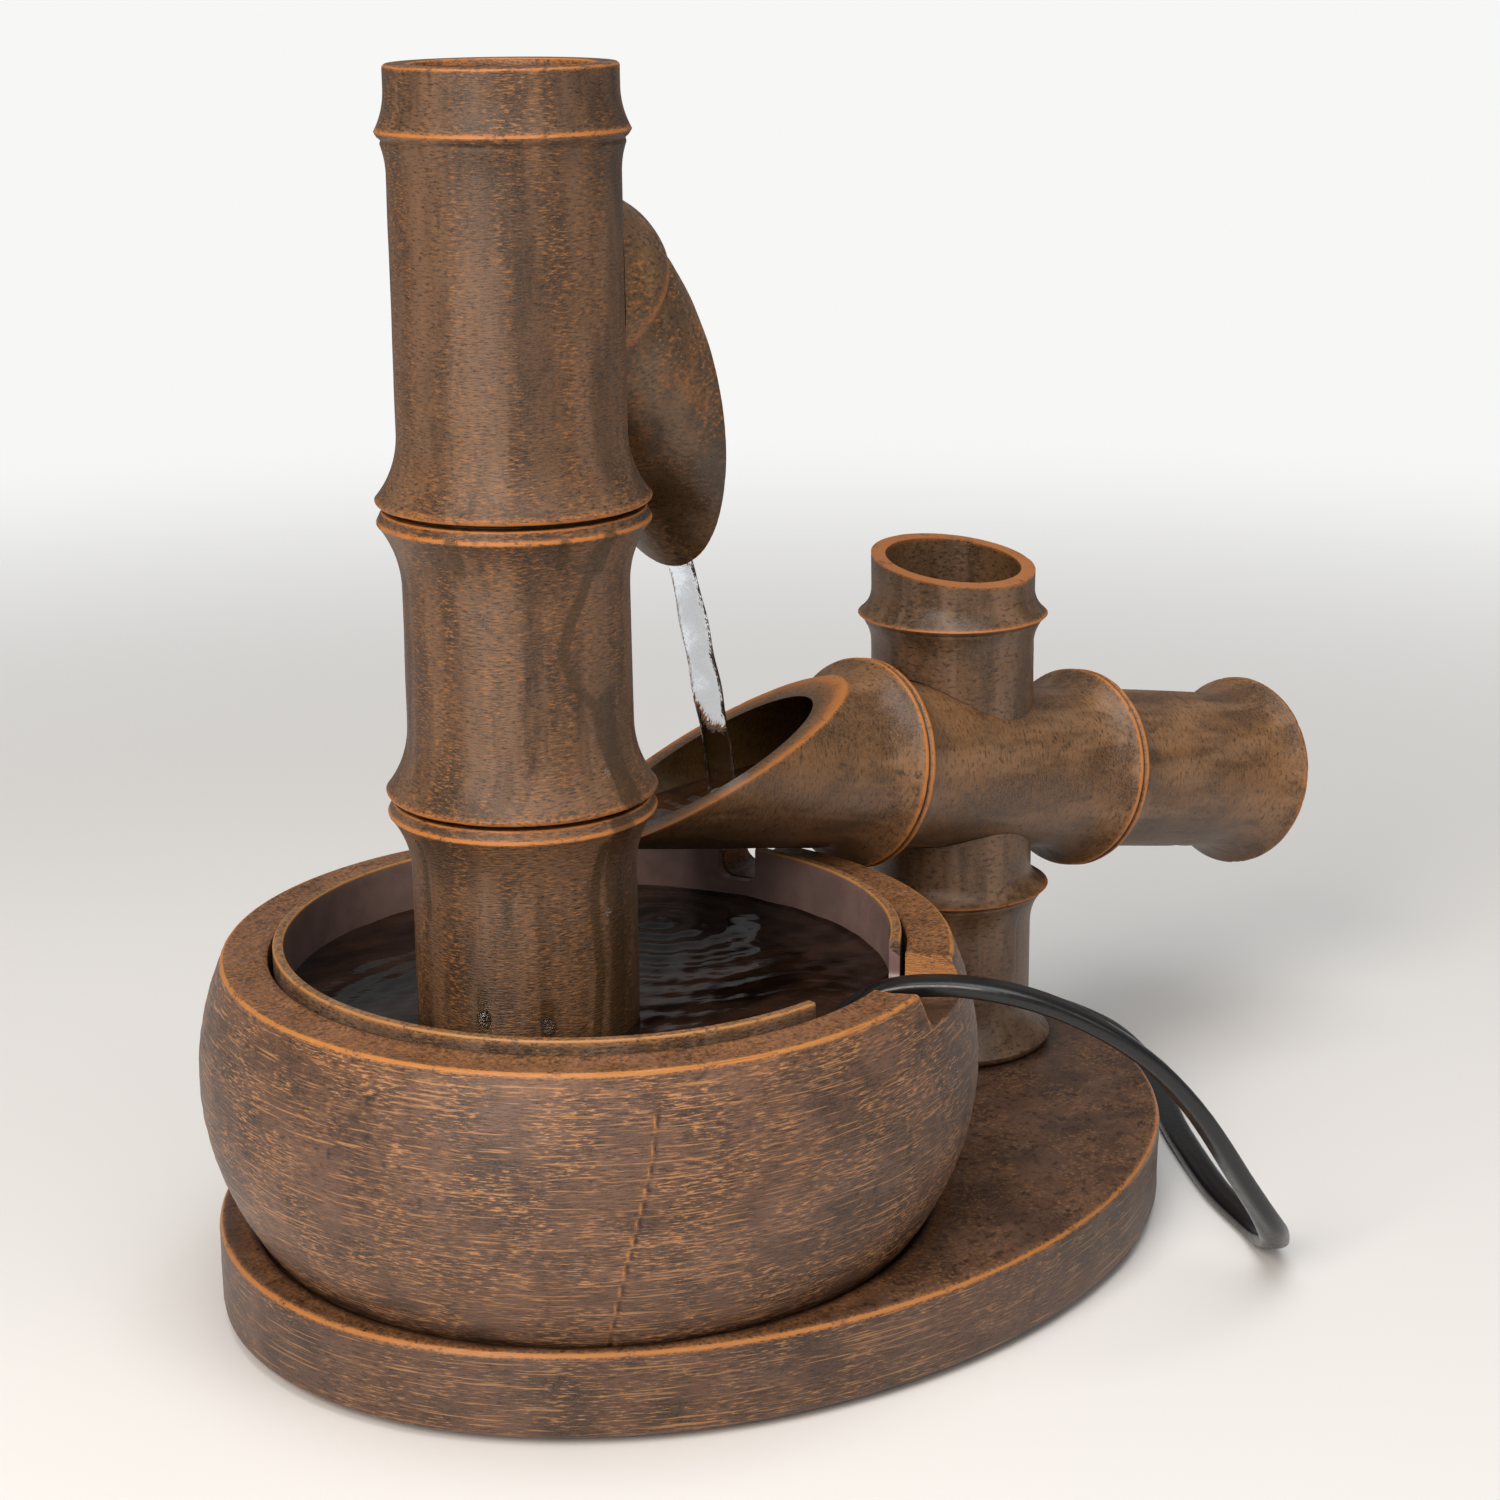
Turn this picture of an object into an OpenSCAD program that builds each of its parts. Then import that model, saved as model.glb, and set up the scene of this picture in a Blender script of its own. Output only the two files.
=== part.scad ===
// Tabletop bamboo fountain: an oval base plate, a barrel-shaped bowl with a liner, a stacked bamboo column
// with a scoop spout and a pump inside, and a bamboo post that carries a cross pipe with an open trough.
// Millimetres. The origin lies under the bowl's axis, on the surface that the fountain stands on.
// +X runs along the base plate from the bowl to the post, and +Z is up.

/* [Base] */
// Length of the oval base plate
base_len = 237; // [220:1:260]
// Width of the oval base plate
base_wid = 185; // [176:1:200]
// Thickness of the base plate
base_t = 19; // [14:0.5:24]
// Rounding of the base plate's edges
base_round = 2; // [0.5:0.5:3]
// How far the base plate's centre lies from the bowl's axis along X
base_shift = 38.5; // [34:0.5:42]
// How far the base plate's centre lies from the bowl's axis along Y
base_side_shift = 4; // [0:0.5:6]
// Thickness of the soft pad under the base plate
pad_t = 1.5; // [1:0.5:3]
// Margin of bare base plate round the pad
pad_margin = 5; // [3:1:12]
// Depth of the recess that holds the bowl's foot
recess_depth = 2; // [1:0.5:4]
// Gap round the bowl's foot in its recess
recess_gap = 0.8; // [0.4:0.1:1.5]

/* [Bowl] */
// Largest radius of the bowl's belly
belly_r = 83.4; // [80:0.2:85]
// Height of the bowl from its foot to its rim
bowl_h = 61; // [56:1:66]
// Height of the widest place above the foot
belly_h = 35.5; // [30:0.5:40]
// Radius of the arc of the bowl's side, seen in section
side_arc_r = 58.5; // [52:0.5:70]
// Thickness of the bowl's wall at its belly
bowl_wall = 15.4; // [14.8:0.1:15.8]
// Thickness of the bowl's floor
bowl_floor_t = 5.8; // [4:0.2:8]
// Rounding of the rim's outer edge
rim_round = 1.2; // [0.4:0.2:2]
// Direction of the cord notch, seen from above
notch_turn = -64.5; // [-70:0.5:-60]
// Width of the cord notch
notch_w = 24; // [18:1:28]
// Depth of the cord notch
notch_depth = 7; // [5:0.5:9]
// Rounding of the cord notch's corners
notch_corner = 2.5; // [1:0.5:3]
// Direction of the small drain notch at the back of the rim
drain_turn = 15.5; // [12:0.5:20]
// Width of the drain notch
drain_w = 10; // [6:0.5:12]
// Depth of the drain notch
drain_depth = 6; // [4:0.5:7]

/* [Liner] */
// Gap between the liner's lip and the bowl's bore
liner_gap = 1.2; // [0.8:0.1:1.8]
// Wall of the liner
liner_wall = 2.3; // [1.6:0.1:3]
// How much narrower the liner's foot is than its lip
liner_draft = 3; // [1:0.5:5]
// How far the lip stands above the bowl's rim
lip_rise = 2.4; // [1:0.1:2.6]
// First end of the gap in the lip where the cord crosses
lip_gap_from = -90; // [-100:1:-84]
// Last end of the gap in the lip
lip_gap_to = -60; // [-62:1:-52]
// Depth of the gap in the lip, below the bowl's rim
lip_gap_depth = 4.2; // [3.8:0.1:5]

/* [Column] */
// Position of the column's axis along X
column_x = -22; // [-26:0.5:-20]
// Position of the column's axis along Y
column_y = -5.5; // [-8:0.5:-2]
// Outer radius of the bamboo of the column
column_r = 23; // [22.6:0.1:23.5]
// Outer radius of the bamboo of the upper section
upper_r = 22.8; // [22.4:0.1:23.2]
// Radius of the column's rings at its seams
ring_r = 27.6; // [26:0.1:29]
// Height of one ring's round edge
ring_h = 2; // [1.4:0.1:3]
// Height over which a ring runs out into the bamboo
flare_h = 13; // [10:0.5:16]
// Gap that shows between two rings at a seam
seam_gap = 1; // [0.6:0.1:1.6]
// Radius of the face that two sections meet on, inside the seam
seat_r = 24; // [22.5:0.1:25]
// Height of the lower seam above the liner's floor
seam_low_h = 92; // [88:1:96]
// Length of the middle section
middle_len = 59.7; // [52:0.1:66]
// Length of the upper section
upper_len = 84.8; // [80:0.1:92]
// Bore of the lower section, which covers the pump
lower_bore_r = 19.6; // [19.5:0.1:20]
// Bore of the middle and upper sections
bore_r = 17.5; // [16.5:0.1:18]
// Length of the spigot under each upper section
spigot_len = 8; // [5:0.5:10]
// Radial play of a spigot in its socket
spigot_play = 0.08; // [0.04:0.01:0.1]
// Radius of the node ring near the column's top
crown_r = 24.8; // [23.5:0.1:26]
// How far the node ring lies below the column's top
crown_drop = 12.6; // [11:0.2:15]
// Height over which the node ring runs out
crown_flare = 8; // [6:0.5:9]
// Thickness of the water tray in the upper section
tray_t = 3; // [2:0.5:4]
// Height of the water tray above the upper seam
tray_h = 21.7; // [19:0.1:23]
// Height of the arch that the cord passes through, at the column's foot
cord_arch_h = 37; // [35:0.5:40]
// Width of the arch that the cord passes through
cord_arch_w = 13; // [12:0.5:15]
// Height of the water arches at the column's foot
arch_h = 11; // [8:0.5:14]
// Width of the water arches at the column's foot
arch_w = 8; // [6:0.5:10]

/* [Spout] */
// Direction of the scoop, seen from above
scoop_turn = 12; // [0:1:30]
// Slope of the scoop's tube below the horizontal
scoop_slope = 46; // [40:1:50]
// Outer radius of the scoop's tube
scoop_r = 19.7; // [18.5:0.1:20]
// Wall of the scoop's tube
scoop_wall = 4; // [3.5:0.1:6]
// Distance of the middle of the scoop's mouth from the column's axis
mouth_reach = 46.5; // [45:0.5:50]
// Height of the middle of the mouth above the upper seam
mouth_h = 13.2; // [12:0.2:16]
// Lean of the mouth's plane back towards the column
mouth_lean = 13; // [8:1:16]
// Distance of the scoop's node ring from the middle of the mouth
scoop_node = 37; // [34:0.5:40]
// How far the scoop's node ring stands out
scoop_node_rise = 0.6; // [0.3:0.1:1]
// Gap of glue between the scoop and the column
glue_gap = 0.1; // [0.05:0.05:0.2]

/* [Post and pipe] */
// Position of the post's axis along X
post_x = 125.3; // [123:0.1:127]
// Position of the post's axis along Y
post_y = 6.4; // [3:0.1:9]
// Outer radius of the post
post_r = 19.7; // [19:0.1:19.8]
// Highest point of the post above the base plate
post_h = 123.5; // [118:0.5:130]
// Slope of the post's cut top
post_cut = 8.5; // [4:0.5:12]
// Direction that the post's cut top faces
post_cut_turn = -92; // [-120:1:-60]
// Radius of the cup in the post's top
post_cup_r = 16.2; // [14:0.1:17]
// Radius of the post's upper node ring
post_ring_r = 22.9; // [22:0.1:24]
// Height of the post's upper node ring above the base plate
post_ring_h = 108; // [106:0.5:110]
// Radius of the post's lower node ring
post_low_ring_r = 24; // [22:0.1:25]
// Height of the post's lower node ring above the base plate
post_low_ring_h = 40.5; // [38:0.5:42]
// Radius of the post's foot ring
post_foot_r = 25; // [23:0.1:26]
// Outer radius of the cross pipe
pipe_r = 20; // [19.9:0.1:20.5]
// Wall of the cross pipe
pipe_wall = 5; // [4:0.1:6]
// Height of the pipe's axis above the base plate, where it crosses the post
pipe_h = 71.7; // [71.4:0.1:74]
// How far the pipe's axis passes in front of the post's axis
pipe_front = 5; // [4:0.2:5.4]
// How far the pipe is set towards the bowl
pipe_shift = 4.2; // [3.4:0.2:4.4]
// Direction of the pipe's closed end, seen from above
pipe_turn = -4.9; // [-10:0.1:0]
// Fall of the pipe towards its closed end
pipe_fall = 11.7; // [11:0.1:13]
// Radius of the pipe's node rings
pipe_ring_r = 24.6; // [22:0.1:25]
// Distance of the open end's ring from the post's axis
pipe_ring_front = 32; // [31:0.5:34]
// Distance of the closed end's ring from the post's axis
pipe_ring_back = 42; // [38:0.5:46]
// Distance of the closed end from the post's axis
pipe_back = 107; // [98:1:116]
// Distance of the middle of the trough's cut from the post's axis
trough_mid = 77; // [74:0.5:78]
// Angle between the trough's cut and the pipe's axis
trough_cut = 29.5; // [28:0.5:34]
// Roll of the trough's cut about the pipe's axis
trough_roll = 8; // [0:1:12]
// Radius of the peg that the post stands on
peg_r = 6; // [4:0.1:8]
// Length of the peg
peg_len = 30; // [24:1:40]
// Depth of the peg in the base plate
peg_depth = 12; // [8:0.5:13]
// Radial play of the peg in its holes
peg_play = 0.05; // [0.02:0.01:0.1]

/* [Pump] */
// Width of the pump
pump_w = 26; // [24:0.5:26]
// Height of the pump without its feet
pump_h = 32; // [32:0.5:36]
// Length of the pump's motor block
motor_len = 16; // [15.6:0.1:16]
// Length of the pump's water chamber cover
cover_len = 8; // [7.6:0.1:8]
// Length of the pump's strainer
strainer_len = 8; // [7:0.1:8]
// Rounding of the pump's upright edges
pump_corner = 4; // [4:0.1:5]
// Wall of the pump's mouldings
pump_wall = 1.2; // [1:0.1:1.4]
// Height of the rotor's axis above the pump's underside
rotor_h = 13; // [12.6:0.1:13.4]
// Radius of the rotor's magnet
magnet_r = 5.4; // [4.8:0.1:5.6]
// Gap between the magnet and its well
magnet_gap = 0.5; // [0.3:0.1:0.6]
// Radius of the impeller
impeller_r = 8; // [7:0.1:8.4]
// Number of the impeller's vanes
vanes = 6; // [4:1:8]
// Radius of the pump's ceramic shaft
shaft_r = 1; // [0.8:0.1:1.2]
// Radial play of the rotor on its shaft
shaft_play = 0.05; // [0.02:0.01:0.1]
// Height of the suction cups
cup_h = 5; // [4:0.5:6]
// Travel of the flow slider
flow_travel = 6; // [4:0.5:7]
// Outer radius of the riser hose
hose_r = 5; // [4.6:0.1:5.6]
// Wall of the riser hose
hose_wall = 1; // [0.8:0.1:1.4]

/* [Cord] */
// Width of the flat twin cord
cord_w = 6.6; // [6:0.1:6.8]
// Thickness of the flat twin cord
cord_t = 4; // [3.6:0.1:4.2]
// Length of the tapered strain relief on the pump
relief_len = 22; // [20:1:24]
// Radius of the strain relief at the pump
relief_r = 5; // [4.6:0.1:5.4]
// Turns of the coil's lower layer
coil_turns = 2; // [2:1:3]
// Width of the plug's body
plug_w = 27; // [24:0.5:30]
// Thickness of the plug's body
plug_t = 11.4; // [11:0.2:13]
// Length of the plug's body
plug_len = 34; // [30:1:38]
// Radius of a plug pin
pin_r = 2; // [1.8:0.1:2.4]
// Length of a plug pin
pin_len = 19; // [16:0.5:20]
// Distance between the plug's pins
pin_pitch = 18.6; // [16:0.1:19]

/* [Hidden] */
$fn = 96;
eps = 0.01;

resin = [0.36, 0.25, 0.17];
resin_light = [0.42, 0.30, 0.20];
black = [0.05, 0.05, 0.06];

base_z = pad_t;
base_top = base_z + base_t;
foot_z = base_top - recess_depth;
rim_z = foot_z + bowl_h;
belly_z = foot_z + belly_h;
arc_x = belly_r - side_arc_r;
bowl_bore_r = belly_r - bowl_wall;
liner_r = bowl_bore_r - liner_gap;
function side_r(z) = arc_x + sqrt(side_arc_r * side_arc_r - (z - belly_z) * (z - belly_z));
foot_r = side_r(foot_z);
liner_z = foot_z + bowl_floor_t;
pool_z = liner_z + liner_wall;
lip_z = rim_z + lip_rise;
lip_gap_z = rim_z - lip_gap_depth;

seam_low_z = pool_z + seam_low_h;
seam_high_z = seam_low_z + middle_len;
column_top_z = seam_high_z + upper_len;
crown_z = column_top_z - crown_drop;
tray_z = seam_high_z + tray_h;
socket_r = lower_bore_r;
spigot_r = socket_r - spigot_play;
mouth_z = seam_high_z + mouth_h;
scoop_bore_r = scoop_r - scoop_wall;

post_top_z = base_top + post_h;
pipe_z = base_top + pipe_h;
peg_z = base_top - peg_depth;
pipe_bore_r = pipe_r - pipe_wall;

cord_turn = -50;
pump_z = pool_z + cup_h;
rotor_z = pump_z + rotor_h;
well_r = magnet_r + magnet_gap;
relief_z = 21;
nozzle_len = 10;
nozzle_r = hose_r - hose_wall - 0.05;
hose_x = -cover_len / 2;
hose_z0 = pump_z + pump_h + 0.2;
hose_z1 = tray_z + tray_t + 3;
hose_lean = atan2(-hose_x, tray_z - hose_z0);
hose_len = (hose_z1 - hose_z0) / cos(hose_lean);

// Oval outline with its centre at the base plate's centre
function oval(a, b, n = 96) = [for (i = [0:n - 1]) [a * cos(360 * i / n), b * sin(360 * i / n)]];

// The plate's rings from the bottom up, each with its height and how far it is drawn in at its edge
edge_steps = [0, 30, 60, 90];
base_rings = concat(
    [for (a = edge_steps) [base_z + base_round * (1 - cos(a)), base_round * (1 - sin(a))]],
    [for (a = edge_steps) [base_top - base_round * (1 - sin(a)), base_round * (1 - cos(a))]]);

// A solid through the rings, closed by a flat face at both ends
module ring_solid(rings, n = 96) {
    count = len(rings);
    points = [for (r = rings, p = oval(base_len / 2 - r[1], base_wid / 2 - r[1], n)) [p[0], p[1], r[0]]];
    walls = [for (i = [0:count - 2], k = [0:n - 1])
        let (a = i * n + k, b = i * n + (k + 1) % n)
        each [[a, a + n, b + n], [a, b + n, b]]];
    ends = [[for (k = [0:n - 1]) k], [for (k = [0:n - 1]) count * n - 1 - k]];
    polyhedron(points, concat(walls, ends));
}

module base_plate() {
    color(resin)
        difference() {
            translate([base_shift, base_side_shift, 0])
                ring_solid(base_rings);
            translate([0, 0, foot_z])
                cylinder(r = side_r(base_top) + recess_gap, h = base_t);
            translate([post_x, post_y, peg_z])
                cylinder(r = peg_r + peg_play, h = base_t);
        }
}

module base_pad() {
    color([0.12, 0.12, 0.12])
        translate([base_shift, base_side_shift, 0])
            linear_extrude(pad_t)
                polygon(oval(base_len / 2 - base_round - pad_margin, base_wid / 2 - base_round - pad_margin));
}

// Outer section of the bowl: one arc between the foot and the rim, with a rounded rim
module bowl_section() {
    edge_r = side_r(rim_z - rim_round);
    intersection() {
        translate([arc_x, belly_z])
            circle(r = side_arc_r, $fn = 180);
        translate([0, foot_z])
            square([belly_r + 5, bowl_h - rim_round]);
    }
    translate([0, belly_z])
        square([edge_r - rim_round, rim_z - belly_z]);
    translate([edge_r - rim_round, rim_z - rim_round])
        circle(r = rim_round, $fn = 24);
}

// A slot through the rim: flat floor, upright walls and rounded lower corners
module rim_slot(turn, width, depth, corner) {
    rotate([0, 0, turn])
        translate([liner_r - 8, 0, rim_z - depth])
            rotate([90, 0, 90])
                linear_extrude(belly_r - liner_r + 12)
                    union() {
                        translate([-width / 2, corner])
                            square([width, depth + lip_rise + 5]);
                        translate([-width / 2 + corner, 0])
                            square([width - 2 * corner, corner + 1]);
                        for (side = [-1, 1])
                            translate([side * (width / 2 - corner), corner])
                                circle(r = corner, $fn = 32);
                    }
}

module bowl() {
    color(resin)
        difference() {
            rotate_extrude($fn = 180)
                intersection() {
                    bowl_section();
                    square([belly_r + 5, rim_z + 5]);
                }
            translate([0, 0, liner_z])
                cylinder(r = bowl_bore_r, h = bowl_h, $fn = 180);
            rim_slot(notch_turn, notch_w, notch_depth, notch_corner);
            rim_slot(drain_turn, drain_w, drain_depth, 3);
        }
}

// Wedge from the axis outwards between two directions, for cutting a stretch of the lip
module wedge(from, to, r, z0, z1) {
    translate([0, 0, z0])
        linear_extrude(z1 - z0)
            polygon([[0, 0], for (i = [0:4]) r * [cos(from + (to - from) * i / 4), sin(from + (to - from) * i / 4)]]);
}

module bowl_liner() {
    foot = liner_r - liner_draft;
    color([0.20, 0.17, 0.16])
        difference() {
            rotate_extrude($fn = 180)
                difference() {
                    polygon([[0, liner_z], [foot, liner_z], [liner_r, rim_z - 12], [liner_r, lip_z], [0, lip_z]]);
                    polygon([[0, pool_z], [foot - liner_wall, pool_z], [liner_r - liner_wall, rim_z - 12],
                             [liner_r - liner_wall, lip_z + 1], [0, lip_z + 1]]);
                }
            wedge(lip_gap_from, lip_gap_to, belly_r + 10, lip_gap_z, lip_z + 1);
            rim_slot(notch_turn, notch_w, notch_depth, notch_corner);
            rim_slot(drain_turn, drain_w, drain_depth, 3);
        }
}

// Half section of a ring: a round edge, and a hollow arc that runs out into the bamboo.
// up = 1 puts the arc above the edge and -1 puts it below. The edge's free face is at z = 0.
module ring_section(body_r, top_r, edge_h, run_h, up) {
    rise = top_r - body_r;
    arc = (run_h * run_h + rise * rise) / (2 * rise);
    mirror([0, up > 0 ? 0 : 1]) {
        translate([body_r - 2, 0])
            square([rise + 2 - edge_h / 2, edge_h]);
        translate([top_r - edge_h / 2, edge_h / 2])
            circle(r = edge_h / 2, $fn = 24);
        difference() {
            translate([body_r - 2, edge_h / 2])
                square([rise + 2 - 0.15, run_h]);
            translate([body_r + arc, edge_h / 2 + run_h])
                circle(r = arc, $fn = 120);
        }
    }
}

// Two ring arcs back to back round one node, with its middle at z = 0
module node_section(body_r, top_r, edge_h, run_up, run_down) {
    translate([0, -edge_h / 2])
        ring_section(body_r, top_r, edge_h, run_up, 1);
    translate([0, edge_h / 2])
        ring_section(body_r, top_r, edge_h, run_down, -1);
}

// The top face of a section: a raised seat inside and the ring's edge a seam's gap lower
module seat_cut(z) {
    translate([seat_r, z])
        square([ring_r, seam_gap + 1]);
}

module on_column() {
    translate([column_x, column_y, 0])
        children();
}

module foot_arch(turn, width, height) {
    rotate([0, 0, turn])
        translate([lower_bore_r - 6, 0, pool_z - 1])
            rotate([90, 0, 90])
                linear_extrude(12)
                    union() {
                        translate([-width / 2, 0])
                            square([width, height - width / 2 + 1]);
                        translate([0, height - width / 2 + 1])
                            circle(r = width / 2, $fn = 48);
                    }
}

module column_lower() {
    color(resin)
        on_column()
            difference() {
                rotate_extrude()
                    difference() {
                        union() {
                            translate([lower_bore_r, pool_z])
                                square([column_r - lower_bore_r, seam_low_h]);
                            translate([0, seam_low_z - seam_gap])
                                ring_section(column_r, ring_r, ring_h, flare_h + 2, -1);
                        }
                        translate([0, pool_z])
                            square([lower_bore_r, seam_low_h + 5]);
                        seat_cut(seam_low_z - seam_gap);
                    }
                foot_arch(cord_turn, cord_arch_w, cord_arch_h);
                for (turn = [0, 90, 180])
                    foot_arch(turn, arch_w, arch_h);
            }
}

// Bamboo section with a spigot below and the ring of a seam at its foot
module spigot_section(length, body_r) {
    translate([bore_r, -spigot_len])
        square([spigot_r - bore_r, spigot_len + 1]);
    translate([bore_r, 0])
        square([body_r - bore_r, length]);
    ring_section(body_r, ring_r, ring_h, flare_h, 1);
}

module column_middle() {
    color(resin_light)
        on_column()
            rotate_extrude()
                difference() {
                    translate([0, seam_low_z])
                        union() {
                            spigot_section(middle_len, column_r);
                            translate([0, middle_len - seam_gap])
                                ring_section(column_r, ring_r, ring_h, flare_h, -1);
                        }
                    translate([0, seam_low_z - spigot_len - 1])
                        square([bore_r, middle_len + spigot_len + 5]);
                    translate([0, seam_high_z - spigot_len - 1])
                        square([socket_r, spigot_len + 5]);
                    seat_cut(seam_high_z - seam_gap);
                }
}

// Places children on the scoop's tube: z runs out along its axis, with 0 at the middle of the mouth
module on_scoop() {
    on_column()
        rotate([0, 0, scoop_turn])
            translate([mouth_reach, 0, mouth_z])
                rotate([0, 90 + scoop_slope, 0])
                    children();
}

module scoop_bore() {
    on_scoop()
        translate([0, 0, -mouth_reach / cos(scoop_slope)])
            cylinder(r = scoop_bore_r, h = 2 * mouth_reach);
}

module column_upper() {
    color(resin)
        difference() {
            on_column()
                rotate_extrude()
                    difference() {
                        union() {
                            translate([0, seam_high_z])
                                spigot_section(upper_len, upper_r);
                            translate([0, crown_z])
                                node_section(upper_r, crown_r, ring_h * 2, crown_flare, crown_flare);
                            translate([hose_r + 0.4, tray_z])
                                square([bore_r + 1 - hose_r, tray_t]);
                        }
                        translate([0, seam_high_z - spigot_len - 1])
                            square([bore_r, tray_h + spigot_len + 1]);
                        translate([0, tray_z + tray_t])
                            square([bore_r, upper_len]);
                    }
            scoop_bore();
        }
}

module spout_scoop() {
    color(resin_light)
        difference() {
            // the tube out to the mouth, and the round node that it grows from
            on_scoop()
                translate([0, 0, -scoop_node]) {
                    cylinder(r = scoop_r, h = 3.5 * scoop_r);
                    sphere(r = scoop_r + scoop_node_rise);
                }
            scoop_bore();
            on_column()
                translate([0, 0, pool_z])
                    cylinder(r = upper_r + glue_gap, h = 3 * upper_len + seam_low_h);
            // everything on the far side of the column from the mouth
            on_column()
                rotate([0, 0, scoop_turn])
                    translate([-100, -50, 0])
                        cube([100, 100, 400]);
            // the mouth's plane
            on_column()
                rotate([0, 0, scoop_turn])
                    translate([mouth_reach, 0, mouth_z])
                        rotate([0, -mouth_lean, 0])
                            translate([0, -50, -100])
                                cube([100, 100, 200]);
        }
}

module on_hose() {
    on_column()
        rotate([0, 0, cord_turn])
            translate([hose_x, 0, hose_z0])
                rotate([0, hose_lean, 0])
                    children();
}

module riser_hose() {
    color([0.75, 0.78, 0.78])
        on_hose()
            difference() {
                cylinder(r = hose_r, h = hose_len, $fn = 48);
                translate([0, 0, -1])
                    cylinder(r = hose_r - hose_wall, h = hose_len + 2, $fn = 48);
            }
}

module on_post() {
    translate([post_x, post_y, 0])
        children();
}

// Places children on the cross pipe: x runs towards its closed end, with 0 at the post's axis
module on_pipe() {
    on_post()
        translate([0, 0, pipe_z])
            rotate([0, 0, pipe_turn])
                translate([-pipe_shift, -pipe_front, 0])
                    rotate([0, pipe_fall, 0])
                        children();
}

module pipe_space() {
    on_pipe()
        rotate([0, 90, 0])
            cylinder(r = pipe_r + glue_gap, h = 4 * post_r, center = true);
}

module post_peg() {
    color([0.62, 0.50, 0.34])
        on_post()
            translate([0, 0, peg_z])
                cylinder(r = peg_r, h = peg_len);
}

module post_lower() {
    color(resin)
        difference() {
            on_post()
                rotate_extrude()
                    union() {
                        translate([0, base_top])
                            square([post_r, pipe_h - glue_gap / 2]);
                        translate([0, base_top])
                            ring_section(post_r, post_foot_r, ring_h * 2, 10, 1);
                        translate([0, base_top + post_low_ring_h])
                            node_section(post_r, post_low_ring_r, ring_h * 2, 4.5, 10);
                    }
            pipe_space();
            on_post()
                translate([0, 0, base_top - 1])
                    cylinder(r = peg_r + peg_play, h = peg_len - peg_depth + 2);
        }
}

module post_upper() {
    cup_z = base_top + post_ring_h - 10;
    color(resin)
        difference() {
            on_post()
                rotate_extrude()
                    union() {
                        translate([0, pipe_z + glue_gap / 2])
                            square([post_r, post_top_z - pipe_z - glue_gap / 2]);
                        translate([0, base_top + post_ring_h])
                            node_section(post_r, post_ring_r, ring_h * 2, 6, 7);
                    }
            pipe_space();
            on_post()
                translate([0, 0, cup_z])
                    cylinder(r = post_cup_r, h = post_h);
            on_post()
                rotate([0, 0, post_cut_turn])
                    translate([-post_r, 0, post_top_z])
                        rotate([0, post_cut, 0])
                            translate([-50, -50, 0])
                                cube([150, 100, 100]);
        }
}

module cross_pipe() {
    cut_x = -trough_mid;
    diaphragm = -pipe_ring_front + 8;
    color(resin_light)
        on_pipe()
            difference() {
                rotate([0, 90, 0])
                    rotate_extrude()
                        union() {
                            translate([0, -trough_mid - 60])
                                square([pipe_r, trough_mid + 60 + pipe_back]);
                            translate([0, -pipe_ring_front])
                                node_section(pipe_r, pipe_ring_r, ring_h * 1.6, 9, 9);
                            translate([0, pipe_ring_back])
                                node_section(pipe_r, pipe_ring_r, ring_h * 1.6, 9, 9);
                            translate([0, pipe_back])
                                ring_section(pipe_r, pipe_ring_r, ring_h * 2, 14, -1);
                        }
                // the trough's bore, closed behind the front ring, and the shallow recess of the closed end
                translate([-200, 0, 0])
                    rotate([0, 90, 0])
                        cylinder(r = pipe_bore_r, h = 200 + diaphragm);
                translate([pipe_back - 3, 0, 0])
                    rotate([0, 90, 0])
                        cylinder(r = pipe_bore_r, h = 20);
                // the slanting cut that opens the trough
                rotate([-trough_roll, 0, 0])
                    translate([cut_x, 0, 0])
                        rotate([0, -trough_cut, 0])
                            translate([-150, -60, 0])
                                cube([300, 120, 150]);
            }
}

// Pump pieces: x runs towards the cord, 0 is the column's axis
module on_pump() {
    on_column()
        rotate([0, 0, cord_turn])
            translate([0, 0, pump_z])
                children();
}

module pump_block(x0, length, inset = 0) {
    r = pump_corner;
    w = pump_w / 2 - inset;
    translate([0, 0, inset])
        linear_extrude(pump_h - 2 * inset)
            union() {
                translate([x0, -w + r])
                    square([length, 2 * w - 2 * r]);
                translate([x0 + (x0 < 0 ? r : 0), -w])
                    square([length - r, 2 * w]);
                for (side = [-1, 1])
                    translate([x0 < 0 ? x0 + r : x0 + length - r, side * (w - r)])
                        circle(r = r, $fn = 48);
            }
}

module along_x(x0, r, length, fn = 64) {
    translate([x0, 0, rotor_h])
        rotate([0, 90, 0])
            cylinder(r = r, h = length, $fn = fn);
}

plate_t = 2.4;
well_len = 11.4;

module pump_housing() {
    color(black)
        on_pump()
            difference() {
                pump_block(0, motor_len);
                // the well that the magnet turns in
                along_x(-1, well_r, well_len + 1);
                along_x(-1, 2.2, well_len + 2.2);
                // the groove of the seal ring
                translate([0, 0, rotor_h])
                    rotate([0, 90, 0])
                        rotate_extrude()
                            translate([seal_r - 0.9, -1])
                                square([1.8, 1.9]);
                // the chamber behind, which holds the core and its winding
                difference() {
                    translate([2.4, 0, 0])
                        pump_block(0, motor_len + 5, pump_wall);
                    along_x(-1, well_r + 1, well_len + 2.8);
                }
            }
}

seal_r = impeller_r + 2.6;

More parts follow.
